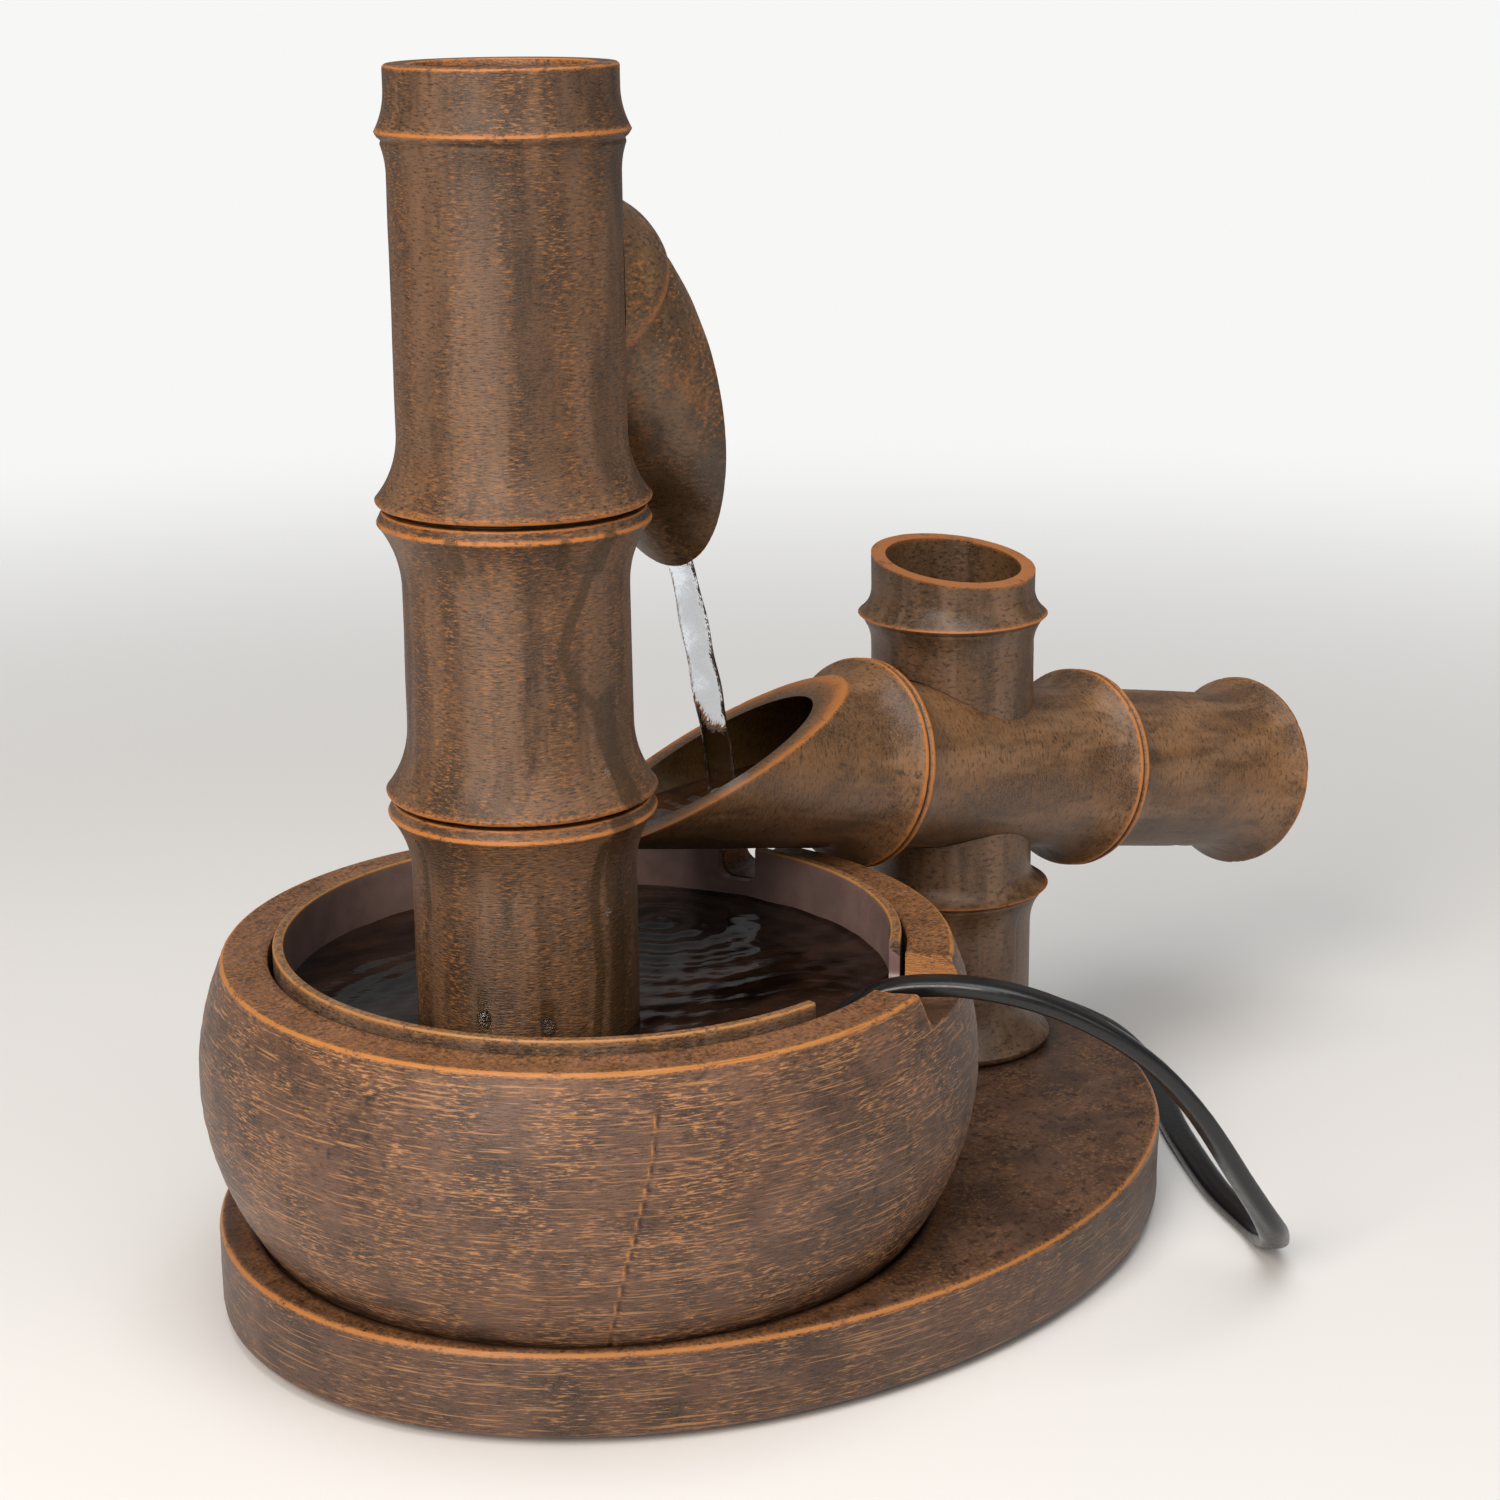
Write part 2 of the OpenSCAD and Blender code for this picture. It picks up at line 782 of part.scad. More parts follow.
module pump_back_plate() {
    color([0.10, 0.10, 0.11])
        on_pump()
            difference() {
                intersection() {
                    pump_block(0, motor_len, pump_wall + 0.1);
                    translate([motor_len - plate_t, -50, 0])
                        cube([plate_t, 100, 100]);
                }
                translate([0, 0, relief_z - rotor_h])
                    along_x(motor_len - 2 * plate_t, 2.4, 3 * plate_t, 32);
            }
}

core_x = 4.4;
core_t = 5;
yoke_z = 25.4;
yoke_h = 3;

// Two legs beside the magnet's well, joined by the yoke that the winding sits on
module pump_core() {
    color([0.55, 0.55, 0.58])
        on_pump()
            difference() {
                union() {
                    for (side = [-1, 1])
                        translate([core_x, side * 9 - 2.4, 4])
                            cube([core_t, 4.8, yoke_z + yoke_h - 4]);
                    translate([core_x, -9, yoke_z])
                        cube([core_t, 18, yoke_h]);
                }
                along_x(0, well_r + 1.3, 20);
            }
}

module pump_winding() {
    color([0.70, 0.38, 0.16])
        on_pump()
            difference() {
                translate([core_x - 1.6, -6.2, yoke_z - 2])
                    cube([core_t + 3.2, 12.4, yoke_h + 4]);
                translate([core_x - 0.2, -7, yoke_z - 0.2])
                    cube([core_t + 0.4, 14, yoke_h + 0.4]);
            }
}

module pump_cover() {
    color(black)
        difference() {
            union() {
                on_pump()
                    pump_block(-cover_len, cover_len - 0.1);
                on_hose()
                    translate([0, 0, -3])
                        cylinder(r = nozzle_r, h = 3 + nozzle_len, $fn = 48);
            }
            // the impeller's chamber, its inlet and the shaft's front bush
            on_pump()
                along_x(-cover_len + pump_wall, impeller_r + 1, cover_len);
            on_pump()
                difference() {
                    along_x(-cover_len - 1, 4.2, 4);
                    along_x(-cover_len - 1, 2.8, 4);
                    for (turn = [0, 90])
                        translate([-cover_len / 2, 0, rotor_h])
                            rotate([turn, 0, 0])
                                cube([cover_len, 1.2, 12], center = true);
                }
            on_pump()
                along_x(-cover_len - 1, 2.0, 4, 32);
            // the way out, through the nozzle
            on_hose()
                translate([0, 0, -pump_h / 3])
                    cylinder(r = nozzle_r - 1.2, h = pump_h + nozzle_len, $fn = 48);
        }
}

module pump_seal_ring() {
    color([0.25, 0.10, 0.08])
        on_pump()
            translate([0.4, 0, rotor_h])
                rotate([0, 90, 0])
                    rotate_extrude()
                        translate([seal_r, 0])
                            circle(r = 0.35, $fn = 24);
}

module pump_strainer() {
    slots = 6;
    pitch = (pump_w - 8) / slots;
    color([0.09, 0.09, 0.10])
        on_pump()
            difference() {
                pump_block(-cover_len - strainer_len, strainer_len - 0.1);
                translate([pump_wall, 0, 0])
                    pump_block(-cover_len - strainer_len, strainer_len + 2, pump_wall);
                // the intake slots, and the slot of the flow slider's tab
                for (i = [0:slots - 1])
                    if (i != 2 && i != 3)
                        translate([-cover_len - strainer_len - 1, -pump_w / 2 + 4 + (i + 0.3) * pitch, 4])
                            cube([5, pitch * 0.5, pump_h - 8]);
                translate([-cover_len - strainer_len - 1, -1.8, 7.5])
                    cube([5, 3.6, 4 + flow_travel]);
            }
}

module pump_flow_slider() {
    x0 = -cover_len - strainer_len;
    color([0.75, 0.73, 0.68])
        on_pump()
            union() {
                translate([x0 + pump_wall + 0.3, -6, 4])
                    cube([1.2, 12, 10]);
                translate([x0 - 0.4, -1.5, 8])
                    cube([3, 3, 3]);
            }
}

module pump_magnet() {
    color([0.16, 0.16, 0.18])
        on_pump()
            difference() {
                along_x(0.6, magnet_r, well_len - 1.2);
                along_x(-1, shaft_r + shaft_play, well_len + 5, 32);
            }
}

module pump_impeller() {
    hub_x = -cover_len + pump_wall + 1.4;
    color([0.85, 0.85, 0.82])
        on_pump()
            difference() {
                union() {
                    along_x(-1.2, impeller_r, 1.1);
                    along_x(hub_x, 2.2, -hub_x + 0.5, 32);
                    for (i = [0:vanes - 1])
                        translate([hub_x + 1, 0, rotor_h])
                            rotate([360 * i / vanes, 0, 0])
                                translate([0, -0.5, 0])
                                    cube([-hub_x - 1.5, 1, impeller_r - 0.3]);
                }
                along_x(-cover_len, shaft_r + shaft_play, 20, 32);
            }
}

module pump_shaft() {
    color([0.92, 0.92, 0.90])
        on_pump()
            along_x(-cover_len + 0.4, shaft_r, cover_len + well_len + 0.2, 32);
}

module bush(x0, r, length) {
    difference() {
        along_x(x0, r, length, 32);
        along_x(x0 - 1, shaft_r, length + 2, 32);
    }
}

module pump_bushes() {
    color([0.20, 0.20, 0.20])
        on_pump()
            union() {
                bush(-cover_len + 0.1, 1.9, 1.4);
                bush(well_len - 0.5, 2.1, 1.1);
            }
}

module pump_suction_cups() {
    color([0.18, 0.18, 0.18])
        on_pump()
            for (x = [-9, 9], y = [-7, 7])
                translate([x, y, -cup_h])
                    rotate_extrude($fn = 48)
                        polygon([[0, 1.2], [1.6, 1.2], [4.2, 0], [4.6, 0.3], [1.9, 2.6], [1.5, cup_h], [0, cup_h]]);
}

// The free stretch of the cord: up out of the bowl, over the rim, down to the table, round behind the post.
// Each point is [x, y, z] of the cord's centre line.
route = [
    [9.5, -43.5, 56.5], [16.5, -51.5, 65.5], [24, -60.5, 75.4], [31, -70, 78], [37, -80, 78],
    [44, -89, 75.5], [53, -97, 69.5], [64, -103, 59.5], [75, -107, 46], [85.5, -109.5, 30.5],
    [96, -110.5, 16.5], [103, -107.5, 10], [108, -104, 6], [113, -98.5, 3], [118, -91.5, 2], [127, -76, 2],
    [139, -60, 2], [152, -44, 2], [165, -30, 2], [177, -17, 2], [187, -3, 2], [194, 11, 2], [197, 26, 2],
    [197, 41, 2], [195, 56, 2], [191, 71, 2], [185, 85, 2], [178, 99, 2.5]
];
coil_x = 135;
coil_y = 120;
coil_r0 = 40;
coil_pitch = cord_w + 0.7;
coil_step = cord_t + 0.7;
strap_t = 0.7;
coil_z = strap_t + 0.3 + cord_t / 2;
coil_lead = 7;
plug_flat = 1;
plug_lead = 28;

function unit(v) = v / norm(v);
// A point of the cord's flat section: straight faces and round edges
function soft(v, power) = sign(v) * pow(abs(v), power);
function flat_point(a) = [cord_w / 2 * soft(cos(a), 0.8), cord_t / 2 * soft(sin(a), 0.6)];
function side_of(t) = unit(cross([0, 0, 1], t));
function ring_points(p, t, sides) =
    let (side = side_of(t), up = cross(t, side))
    [for (k = [0:sides - 1])
        let (q = flat_point(360 * k / sides))
        p + side * q[0] + up * q[1]];

// A closed tube through the points of a path, square at its ends
module flat_tube(path, sides) {
    n = len(path);
    tangents = [for (i = [0:n - 1])
        unit(path[min(i + 1, n - 1)] - path[max(i - 1, 0)])];
    points = [for (i = [0:n - 1]) each ring_points(path[i], tangents[i], sides)];
    walls = [for (i = [0:n - 2], k = [0:sides - 1])
        let (a = i * sides + k, b = i * sides + (k + 1) % sides)
        each [[a, b, b + sides], [a, b + sides, a + sides]]];
    ends = [for (k = [1:sides - 2]) each [
        [0, k + 1, k],
        [(n - 1) * sides, (n - 1) * sides + k, (n - 1) * sides + k + 1]]];
    polyhedron(points, concat(walls, ends));
}

function spline(a, b, c, d, t) =
    0.5 * (2 * b + (c - a) * t + (2 * a - 5 * b + 4 * c - d) * t * t + (3 * b - a - 3 * c + d) * t * t * t);
// The coil spirals in on the table, climbs while it turns back, and spirals out on top
inner_r = coil_r0 - coil_turns * coil_pitch;
out_turns = coil_turns - 0.25;
function coil_r(u) = u < coil_turns + 0.25
    ? coil_r0 - u * coil_pitch
    : coil_r0 - (2 * coil_turns + 0.5 - u) * coil_pitch;
function coil_h(u) = coil_z + coil_step * min(max((u - coil_turns) / 0.5, 0), 1);
function coil_point(u) = [coil_x + coil_r(u) * cos(360 * u), coil_y + coil_r(u) * sin(360 * u), coil_h(u)];
coil_end = coil_turns + 0.5 + out_turns;
coil_rings = 24;
coil_first = coil_point(0);
plug_axis_z = plug_t * plug_flat / 2;
coil_last = coil_point(coil_end);
coil_path = concat(
    [coil_first - [0, coil_lead, 0]],
    [for (i = [0:round(coil_end * coil_rings)]) coil_point(i / coil_rings)],
    [for (step = [[0.35, 0.2], [0.55, 0.6], [0.76, 1], [1, 1]])
        coil_last - [step[0] * plug_lead, 0, step[1] * (coil_last[2] - plug_axis_z)]]);
// Distance between two centres, counted in cord sections: 1 means that the sections just touch
function apart(i, j) = let (d = coil_path[i] - coil_path[j])
    norm([norm([d[0], d[1]]) / cord_w, d[2] / cord_t]);
least_gap = cord_t * (min([for (i = [0:len(coil_path) - 1])
    for (j = [i + 12:1:len(coil_path) - 1]) apart(i, j)]) - 1);
echo(least_gap = least_gap);

cord_join = coil_first - [0, coil_lead, 0];

relief_tip = [column_x, column_y, pump_z + relief_z]
    + (motor_len + relief_len) * [cos(cord_turn), sin(cord_turn), 0];
// The free stretch leaves the strain relief straight and meets the coil's lead straight
guide = concat([relief_tip - 6 * [cos(cord_turn), sin(cord_turn), 0], relief_tip], route,
               [cord_join, cord_join + [0, 8, 0]]);
cord_path = [for (i = [1:len(guide) - 2])
    each [guide[i], if (i < len(guide) - 2)
        spline(guide[i - 1], guide[i], guide[i + 1], guide[i + 2], 0.5)]];
function path_len(path, i = 1) = i < len(path) ? norm(path[i] - path[i - 1]) + path_len(path, i + 1) : 0;
echo(free_length = path_len(cord_path), coil_length = path_len(coil_path));
function bend(a, b, c) = norm(a - b) * norm(b - c) * norm(a - c) / (2 * max(norm(cross(b - a, c - a)), 0.001));
echo(least_bend = min([for (i = [2:len(cord_path) - 3])
    bend(cord_path[i - 2], cord_path[i], cord_path[i + 2])]));
plug_x = coil_last[0] - plug_lead;
plug_y = coil_last[1];

module cord_relief() {
    color(black)
        on_pump()
            translate([0, 0, relief_z - rotor_h])
                difference() {
                    union() {
                        along_x(motor_len, 5.2, 1.6, 48);
                        translate([motor_len + 1, 0, rotor_h])
                            rotate([0, 90, 0])
                                cylinder(r1 = relief_r, r2 = cord_w / 2 + 0.5, h = relief_len - 1.5, $fn = 48);
                    }
                    for (i = [0:3])
                        translate([motor_len + 5 + 4 * i, 0, rotor_h])
                            rotate([0, 90, 0])
                                difference() {
                                    cylinder(r = 9, h = 1.6, $fn = 48);
                                    translate([0, 0, -1])
                                        cylinder(r = cord_w / 2 + 0.3, h = 4, $fn = 48);
                                }
                }
}

module power_cord() {
    color(black)
        flat_tube(cord_path, 10);
}

module cord_coil() {
    color(black)
        flat_tube(coil_path, 6);
}

// A flat strap round the coil's turns, part of a turn past the coil's first point
module cord_tie() {
    at = 0.625;
    gap = 0.4;
    inner = coil_r(coil_turns + at) - cord_w / 2 - gap;
    outer = coil_r(at) + cord_w / 2 + gap;
    high = coil_z + coil_step + cord_t / 2 + gap;
    color([0.30, 0.30, 0.31])
        translate([coil_x, coil_y, 0])
            rotate([90, 0, 360 * at])
                linear_extrude(6, center = true)
                    difference() {
                        translate([inner - strap_t, 0])
                            square([outer - inner + 2 * strap_t, high + strap_t]);
                        translate([inner, strap_t])
                            square([outer - inner, high - strap_t]);
                    }
}

module plug_slice(x, w, t) {
    translate([x, 0, 0])
        cube([eps, w, t], center = true);
}

module plug_body() {
    color(black)
        translate([plug_x, plug_y, plug_axis_z])
            mirror([1, 0, 0]) {
                hull() {
                    translate([0, 0, 0])
                        rotate([0, 90, 0])
                            cylinder(r = cord_w / 2 + 0.6, h = 1, $fn = 32);
                    translate([plug_len * 0.45, 0, 0])
                        rotate([0, 90, 0])
                            cylinder(r = 5.5, h = 1, $fn = 32);
                }
                hull() {
                    plug_slice(plug_len * 0.42, plug_w * 0.5, plug_t * 0.7);
                    plug_slice(plug_len * 0.62, plug_w, plug_t * plug_flat);
                    plug_slice(plug_len - 2, plug_w, plug_t * plug_flat);
                    plug_slice(plug_len, plug_w - 4, plug_t * 0.7);
                }
            }
}

module plug_pins() {
    color([0.80, 0.80, 0.82])
        translate([plug_x - plug_len, plug_y, plug_axis_z])
            for (side = [-1, 1])
                translate([0, side * pin_pitch / 2, 0])
                    rotate([0, -90, 0]) {
                        cylinder(r = pin_r, h = pin_len - pin_r / 2, $fn = 32);
                        translate([0, 0, pin_len - pin_r])
                            sphere(r = pin_r - eps, $fn = 32);
                    }
}

base_plate();
base_pad();
bowl();
bowl_liner();
column_lower();
column_middle();
column_upper();
spout_scoop();
riser_hose();
post_peg();
post_lower();
cross_pipe();
post_upper();
pump_housing();
pump_back_plate();
pump_core();
pump_winding();
pump_cover();
pump_seal_ring();
pump_strainer();
pump_flow_slider();
pump_magnet();
pump_impeller();
pump_shaft();
pump_bushes();
pump_suction_cups();
cord_relief();
power_cord();
cord_coil();
cord_tie();
plug_body();
plug_pins();
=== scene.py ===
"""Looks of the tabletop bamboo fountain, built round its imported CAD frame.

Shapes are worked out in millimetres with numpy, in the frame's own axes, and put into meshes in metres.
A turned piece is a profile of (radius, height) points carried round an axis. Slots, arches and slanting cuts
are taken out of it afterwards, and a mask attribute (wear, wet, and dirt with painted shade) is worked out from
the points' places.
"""
import math
import bmesh
import bpy
import numpy as np
from mathutils import Matrix, Vector


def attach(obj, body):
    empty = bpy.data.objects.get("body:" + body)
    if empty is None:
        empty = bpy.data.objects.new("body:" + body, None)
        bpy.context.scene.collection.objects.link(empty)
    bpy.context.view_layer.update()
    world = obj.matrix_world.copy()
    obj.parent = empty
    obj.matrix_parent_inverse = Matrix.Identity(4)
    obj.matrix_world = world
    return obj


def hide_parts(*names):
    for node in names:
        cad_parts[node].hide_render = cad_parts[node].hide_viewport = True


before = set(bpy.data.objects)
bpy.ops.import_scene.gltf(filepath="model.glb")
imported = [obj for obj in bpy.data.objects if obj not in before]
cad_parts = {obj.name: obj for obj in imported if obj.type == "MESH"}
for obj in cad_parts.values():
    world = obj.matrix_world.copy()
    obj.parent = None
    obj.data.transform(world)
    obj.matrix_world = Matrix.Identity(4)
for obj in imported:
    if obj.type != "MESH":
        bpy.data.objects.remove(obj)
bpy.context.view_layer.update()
MM = 0.001

# Places in millimetres and angles in radians that several pieces share.
COLUMN = np.array([-22.0, -5.5, 0.0])
POST = np.array([125.3, 6.4, 0.0])
PIPE_AT = np.array([120.69, 1.78, 92.2])
FALL, PIPE_AZ = math.radians(11.7), math.radians(-4.9)
SPOUT_AZ = math.radians(12)


# ---------------------------------------------------------------- camera

SENSOR, FOCAL_PX, PHOTO_PX = 36, 2986.62, 1500


def make_camera():
    """Camera at the photograph's viewing angle. Its axes and place were solved from the object's ellipses."""
    data = bpy.data.cameras.new("camera")
    data.sensor_width = SENSOR
    data.lens = SENSOR * FOCAL_PX / PHOTO_PX
    data.clip_start, data.clip_end = 0.01, 20
    camera = bpy.data.objects.new("camera", data)
    bpy.context.scene.collection.objects.link(camera)
    right = np.array([0.70241, -0.71172, -0.00818])
    forward = np.array([0.68332, 0.67751, -0.27212])
    forward /= np.linalg.norm(forward)
    right -= forward * (right @ forward)
    right /= np.linalg.norm(right)
    matrix = np.eye(4)
    matrix[:3] = np.column_stack([right, np.cross(right, forward), -forward, [-0.40414, -0.44977, 0.29151]])
    camera.matrix_world = Matrix(matrix.tolist())
    bpy.context.scene.camera = camera


make_camera()


# ---------------------------------------------------------------- materials

def tone(code):
    """Linear RGBA of an sRGB hex colour."""
    values = [int(code[i:i + 2], 16) / 255 for i in (1, 3, 5)]
    return tuple(v / 12.92 if v <= 0.04045 else ((v + 0.055) / 1.055) ** 2.4 for v in values) + (1.0,)


class Recipe:
    """The node tree of a material or a world, and the one call that adds a node with its settings and links."""

    def __init__(self, owner, shader="ShaderNodeBsdfPrincipled", output="ShaderNodeOutputMaterial"):
        owner.use_nodes = True
        self.owner, self.tree = owner, owner.node_tree
        self.tree.nodes.clear()
        self.shader = self.add(shader)
        self.output = self.add(output, {0: self.shader.outputs[0]})

    def join(self, value, socket):
        """Links an output to a socket, or sets the socket's own value."""
        if isinstance(value, bpy.types.NodeSocket):
            self.tree.links.new(value, socket)
        else:
            socket.default_value = value

    def add(self, kind, inputs=None, **settings):
        """A node with its settings, and its inputs joined by name or number."""
        made = self.tree.nodes.new(kind)
        for key, value in settings.items():
            setattr(made, key, value)
        for key, value in (inputs or {}).items():
            self.join(value, made.inputs[key])
        return made

    def feed(self, **inputs):
        """Joins the shader's inputs. A low line in a key stands for the space in the input's name."""
        for key, value in inputs.items():
            self.join(value, self.shader.inputs[key.replace("_", " ")])

    def place(self, turn=(0, 0, 0), scale=(1, 1, 1)):
        """Object coordinates in metres, turned to the piece's own axis and scaled to cycles."""
        coords = self.add("ShaderNodeTexCoord").outputs["Object"]
        turned_to = self.add("ShaderNodeMapping", {"Vector": coords, "Rotation": turn}).outputs[0]
        return self.add("ShaderNodeVectorMath", {0: turned_to, 1: scale}, operation="MULTIPLY").outputs[0]

    def noise(self, size, detail=3.0, rough=0.55, turn=(0, 0, 0)):
        """Noise whose features are size (x, y, z) millimetres across."""
        scaled = self.place(turn, tuple(1000.0 / s for s in size))
        settings = {"Vector": scaled, "Scale": 1.0, "Detail": detail, "Roughness": rough}
        return self.add("ShaderNodeTexNoise", settings).outputs["Fac"]

    def window(self, value, low, high, top=1.0):
        """0 below low, top above high, and a smooth step between."""
        inputs = {"Value": value, "From Min": low, "From Max": high, "To Max": top}
        return self.add("ShaderNodeMapRange", inputs, interpolation_type="SMOOTHSTEP").outputs[0]

    def blend(self, amount, a, b, mode="MIX"):
        """Colour a with that amount of colour b over it."""
        made = self.add("ShaderNodeMix", data_type="RGBA", blend_type=mode)
        sockets = {s.identifier: s for s in made.inputs}
        for key, value in (("Factor_Float", amount), ("A_Color", a), ("B_Color", b)):
            self.join(value, sockets[key])
        return next(s for s in made.outputs if s.identifier == "Result_Color")

    def maths(self, a, b, operation="MULTIPLY"):
        """Two numbers put together, a product where nothing else is said."""
        return self.add("ShaderNodeMath", {0: a, 1: b}, operation=operation).outputs[0]

    def bump(self, height, distance, strength=1.0, under=None):
        """Normal of a height pattern that is distance metres deep, over another normal if one is given."""
        inputs = {"Height": height, "Distance": distance, "Strength": strength}
        return self.add("ShaderNodeBump", inputs if under is None else {**inputs, "Normal": under}).outputs[0]

    def mask(self):
        """The piece's own mask attribute: wear, wet, and dirt with painted shade."""
        read = self.add("ShaderNodeAttribute", attribute_name="mask")
        return self.add("ShaderNodeSeparateColor", {0: read.outputs["Color"]}).outputs[:3]


def cast_resin(name, dark, mid, pale, fleck, edge, stroke=(1.6, 1.6, 0.38), flecks=0.9, fleck_low=0.53,
               streak=(9.0, 9.0, 70.0), cluster=(9, 9, 14), lines=None, mottle=0.75, turn=(0, 0, 0),
               relief=0.00018):
    """Stained cast resin: brown body colour, long tonal streaks, short brush strokes left on the high spots,
    orange-tan dry brushing along the edges, and darker glossy skin where water runs. A stroke, a tonal streak,
    a cluster of strokes and a long tool line are that many millimetres across. Relief is in metres."""
    r = Recipe(bpy.data.materials.new(name))
    wear, wet, dirt_and_shade = r.mask()

    def noise(size, detail, rough):
        return r.noise(size, detail, rough, turn)

    strokes = noise(stroke, 4.0, 0.62)
    patch = noise(cluster, 3.0, 0.6)
    grain = noise((0.5, 0.5, 0.35), 2.0, 0.7)

    # Stain: two browns in blotches and paler streaks over them. Painted shade darkens the hollows between
    # the strokes.
    colour = r.blend(r.window(noise((16, 16, 22), 4.0, 0.6), 0.38, 0.62), tone(dark), tone(mid))
    colour = r.blend(r.window(noise(streak, 3.0, 0.6), 0.45, 0.64, mottle), colour, tone(pale))
    shaded_hollows = r.blend(0.80, colour, tone(dark), "MULTIPLY")
    colour = r.blend(r.window(strokes, 0.34, 0.50), shaded_hollows, colour)

    # Tan brushing: crests of the strokes in clusters. Tool lines are level, so they show on upright faces only,
    # and a flat face takes the brush as powder.
    lit = r.maths(r.window(strokes, fleck_low, fleck_low + 0.09), r.window(patch, 0.36, 0.58, flecks))
    if lines:
        drawn = r.window(noise(lines, 3.0, 0.6), 0.58, 0.65, 0.8)
        normal = r.add("ShaderNodeSeparateXYZ", {0: r.add("ShaderNodeTexCoord").outputs["Normal"]})
        flat = r.window(normal.outputs["Z"], 0.60, 0.92)
        lit = r.maths(r.maths(lit, drawn, "MAXIMUM"), r.maths(1.0, flat, "SUBTRACT"))
        powder = r.maths(r.window(noise((0.9, 0.9, 0.9), 4.0, 0.7), 0.48, 0.66, 0.55), flat)
        lit = r.maths(lit, r.maths(powder, r.window(patch, 0.35, 0.60)), "MAXIMUM")
    colour = r.blend(lit, colour, tone(fleck))
    colour = r.blend(r.window(grain, 0.34, 0.66, 0.34), colour, tone(pale))

    # Edges: brushed in broken strokes, and solid where the brush was pressed.
    broken = r.maths(wear, r.window(noise((0.9, 0.9, 0.5), 4.0, 0.7), 0.32, 0.58, 0.85))
    solid = r.maths(r.window(wear, 0.60, 0.95), r.window(noise((5, 5, 3), 3.0, 0.6), 0.30, 0.48))
    brushed = r.maths(broken, solid, "MAXIMUM")
    colour = r.blend(r.window(brushed, 0.10, 0.85, 0.82), colour, tone(edge))
    # Dirt, and painted shade where the masks put it, in near-black brown.
    colour = r.blend(r.maths(dirt_and_shade, 0.78), colour, tone("#1a110a"))
    colour = r.blend(r.maths(wet, 0.70), colour, tone("#3f2a0c"))

    # Satin where dry, glossy where wet.
    dry = r.maths(r.window(strokes, 0.2, 0.8, 0.18), 0.34, "ADD")
    gloss = r.add("ShaderNodeMix", {0: wet, 2: dry, 3: 0.16}, data_type="FLOAT").outputs[0]
    r.feed(Base_Color=colour, Roughness=gloss, IOR=1.5,
           Normal=r.bump(strokes, relief, 0.9, r.bump(grain, relief * 0.25, 0.7)))
    return r.owner


def still_water(name, deep, light):
    """Standing water over a dark ground: brown body colour, nearly mirror smooth, with small ripples."""
    r = Recipe(bpy.data.materials.new(name))
    cloud = r.noise((26, 14, 20), 4.0, 0.6)
    ripple = r.noise((5.5, 2.4, 6), 3.0, 0.5, (0, 0, 0.5))
    r.feed(Base_Color=r.blend(r.window(cloud, 0.35, 0.7), tone(deep), tone(light)), Roughness=0.10, IOR=1.333,
           Normal=r.bump(ripple, 0.0003, 0.35))
    return r.owner


def clear_water(name):
    """Falling or beaded water: clear, with a swirl in its skin that bends what is seen through it."""
    r = Recipe(bpy.data.materials.new(name))
    swirl = r.noise((1.6, 1.6, 5.0), 3.0, 0.55)
    r.feed(Base_Color=tone("#e9edf2"), Roughness=0.03, IOR=1.333, Transmission_Weight=1.0,
           Normal=r.bump(swirl, 0.0005, 0.6))
    return r.owner


def moulded(name, body, other, rough, grit, relief=0.00005, coat=0.0, metallic=0.0, size=6.0):
    """Moulded, drawn, ground or plated material: one body colour with clouds size millimetres across, and a
    surface grit that many millimetres across."""
    r = Recipe(bpy.data.materials.new(name))
    cloud = r.noise((size, size, size), 3.0, 0.6)
    fine = r.noise((grit, grit, grit), 2.0, 0.6)
    r.feed(Base_Color=r.blend(r.window(cloud, 0.35, 0.68), tone(body), tone(other)),
           Roughness=r.maths(r.window(fine, 0.3, 0.7, 0.10), rough - 0.05, "ADD"),
           Metallic=metallic, IOR=1.5, Coat_Weight=coat, Normal=r.bump(fine, relief, 0.6))
    return r.owner


def beech(name):
    """Turned beech dowel: pale straw wood, short darker rays along the peg."""
    r = Recipe(bpy.data.materials.new(name))
    rays = r.noise((0.7, 0.7, 9.0), 4.0, 0.6)
    r.feed(Base_Color=r.blend(r.window(rays, 0.4, 0.66), tone("#c4a276"), tone("#96703f")), Roughness=0.6,
           Normal=r.bump(rays, 0.00008, 0.6))
    return r.owner


def layered_metal(name, dark, bright, pitch, scale, uneven, metallic, rough, relief, strength):
    """Metal in layers side by side, as dark and bright bands square to the pump's axis: pitch is cycles to the
    metre before the scale, and uneven is how far the bands wander."""
    r = Recipe(bpy.data.materials.new(name))
    across = r.place((0, 0, math.radians(50)), (pitch, 0.0, 0.0))
    bands = r.add("ShaderNodeTexWave", {"Vector": across, "Scale": scale, "Distortion": uneven},
                  bands_direction="X").outputs["Fac"]
    r.feed(Base_Color=r.blend(bands, tone(dark), tone(bright)), Metallic=metallic, Roughness=rough,
           Normal=r.bump(bands, relief, strength))
    return r.owner


# Column: polyester resin cast in a mould of real bamboo, stained brown and dry-brushed tan: the short level
# dashes stand in upright clusters, which gives the culm its fibre.
bamboo = cast_resin("stained_cast_resin_bamboo", "#3b2714", "#614227", "#795a42", "#a0682f", "#c67a34",
                    stroke=(1.5, 1.5, 0.34), flecks=0.85, fleck_low=0.54, cluster=(6, 6, 40), relief=0.0003)
# Cross pipe: the same casting laid level. Its streaks follow the pipe, and it is smoother than the column.
pipe_bamboo = cast_resin("stained_cast_resin_cross_pipe", "#4a3119", "#78532f", "#9c7757", "#9c6c36", "#c67a34",
                         stroke=(1.6, 1.6, 0.6), flecks=0.4, fleck_low=0.57, streak=(7.0, 7.0, 50.0),
                         mottle=0.5, turn=(0.0, -math.pi / 2 - FALL, 0.0), relief=0.0001)
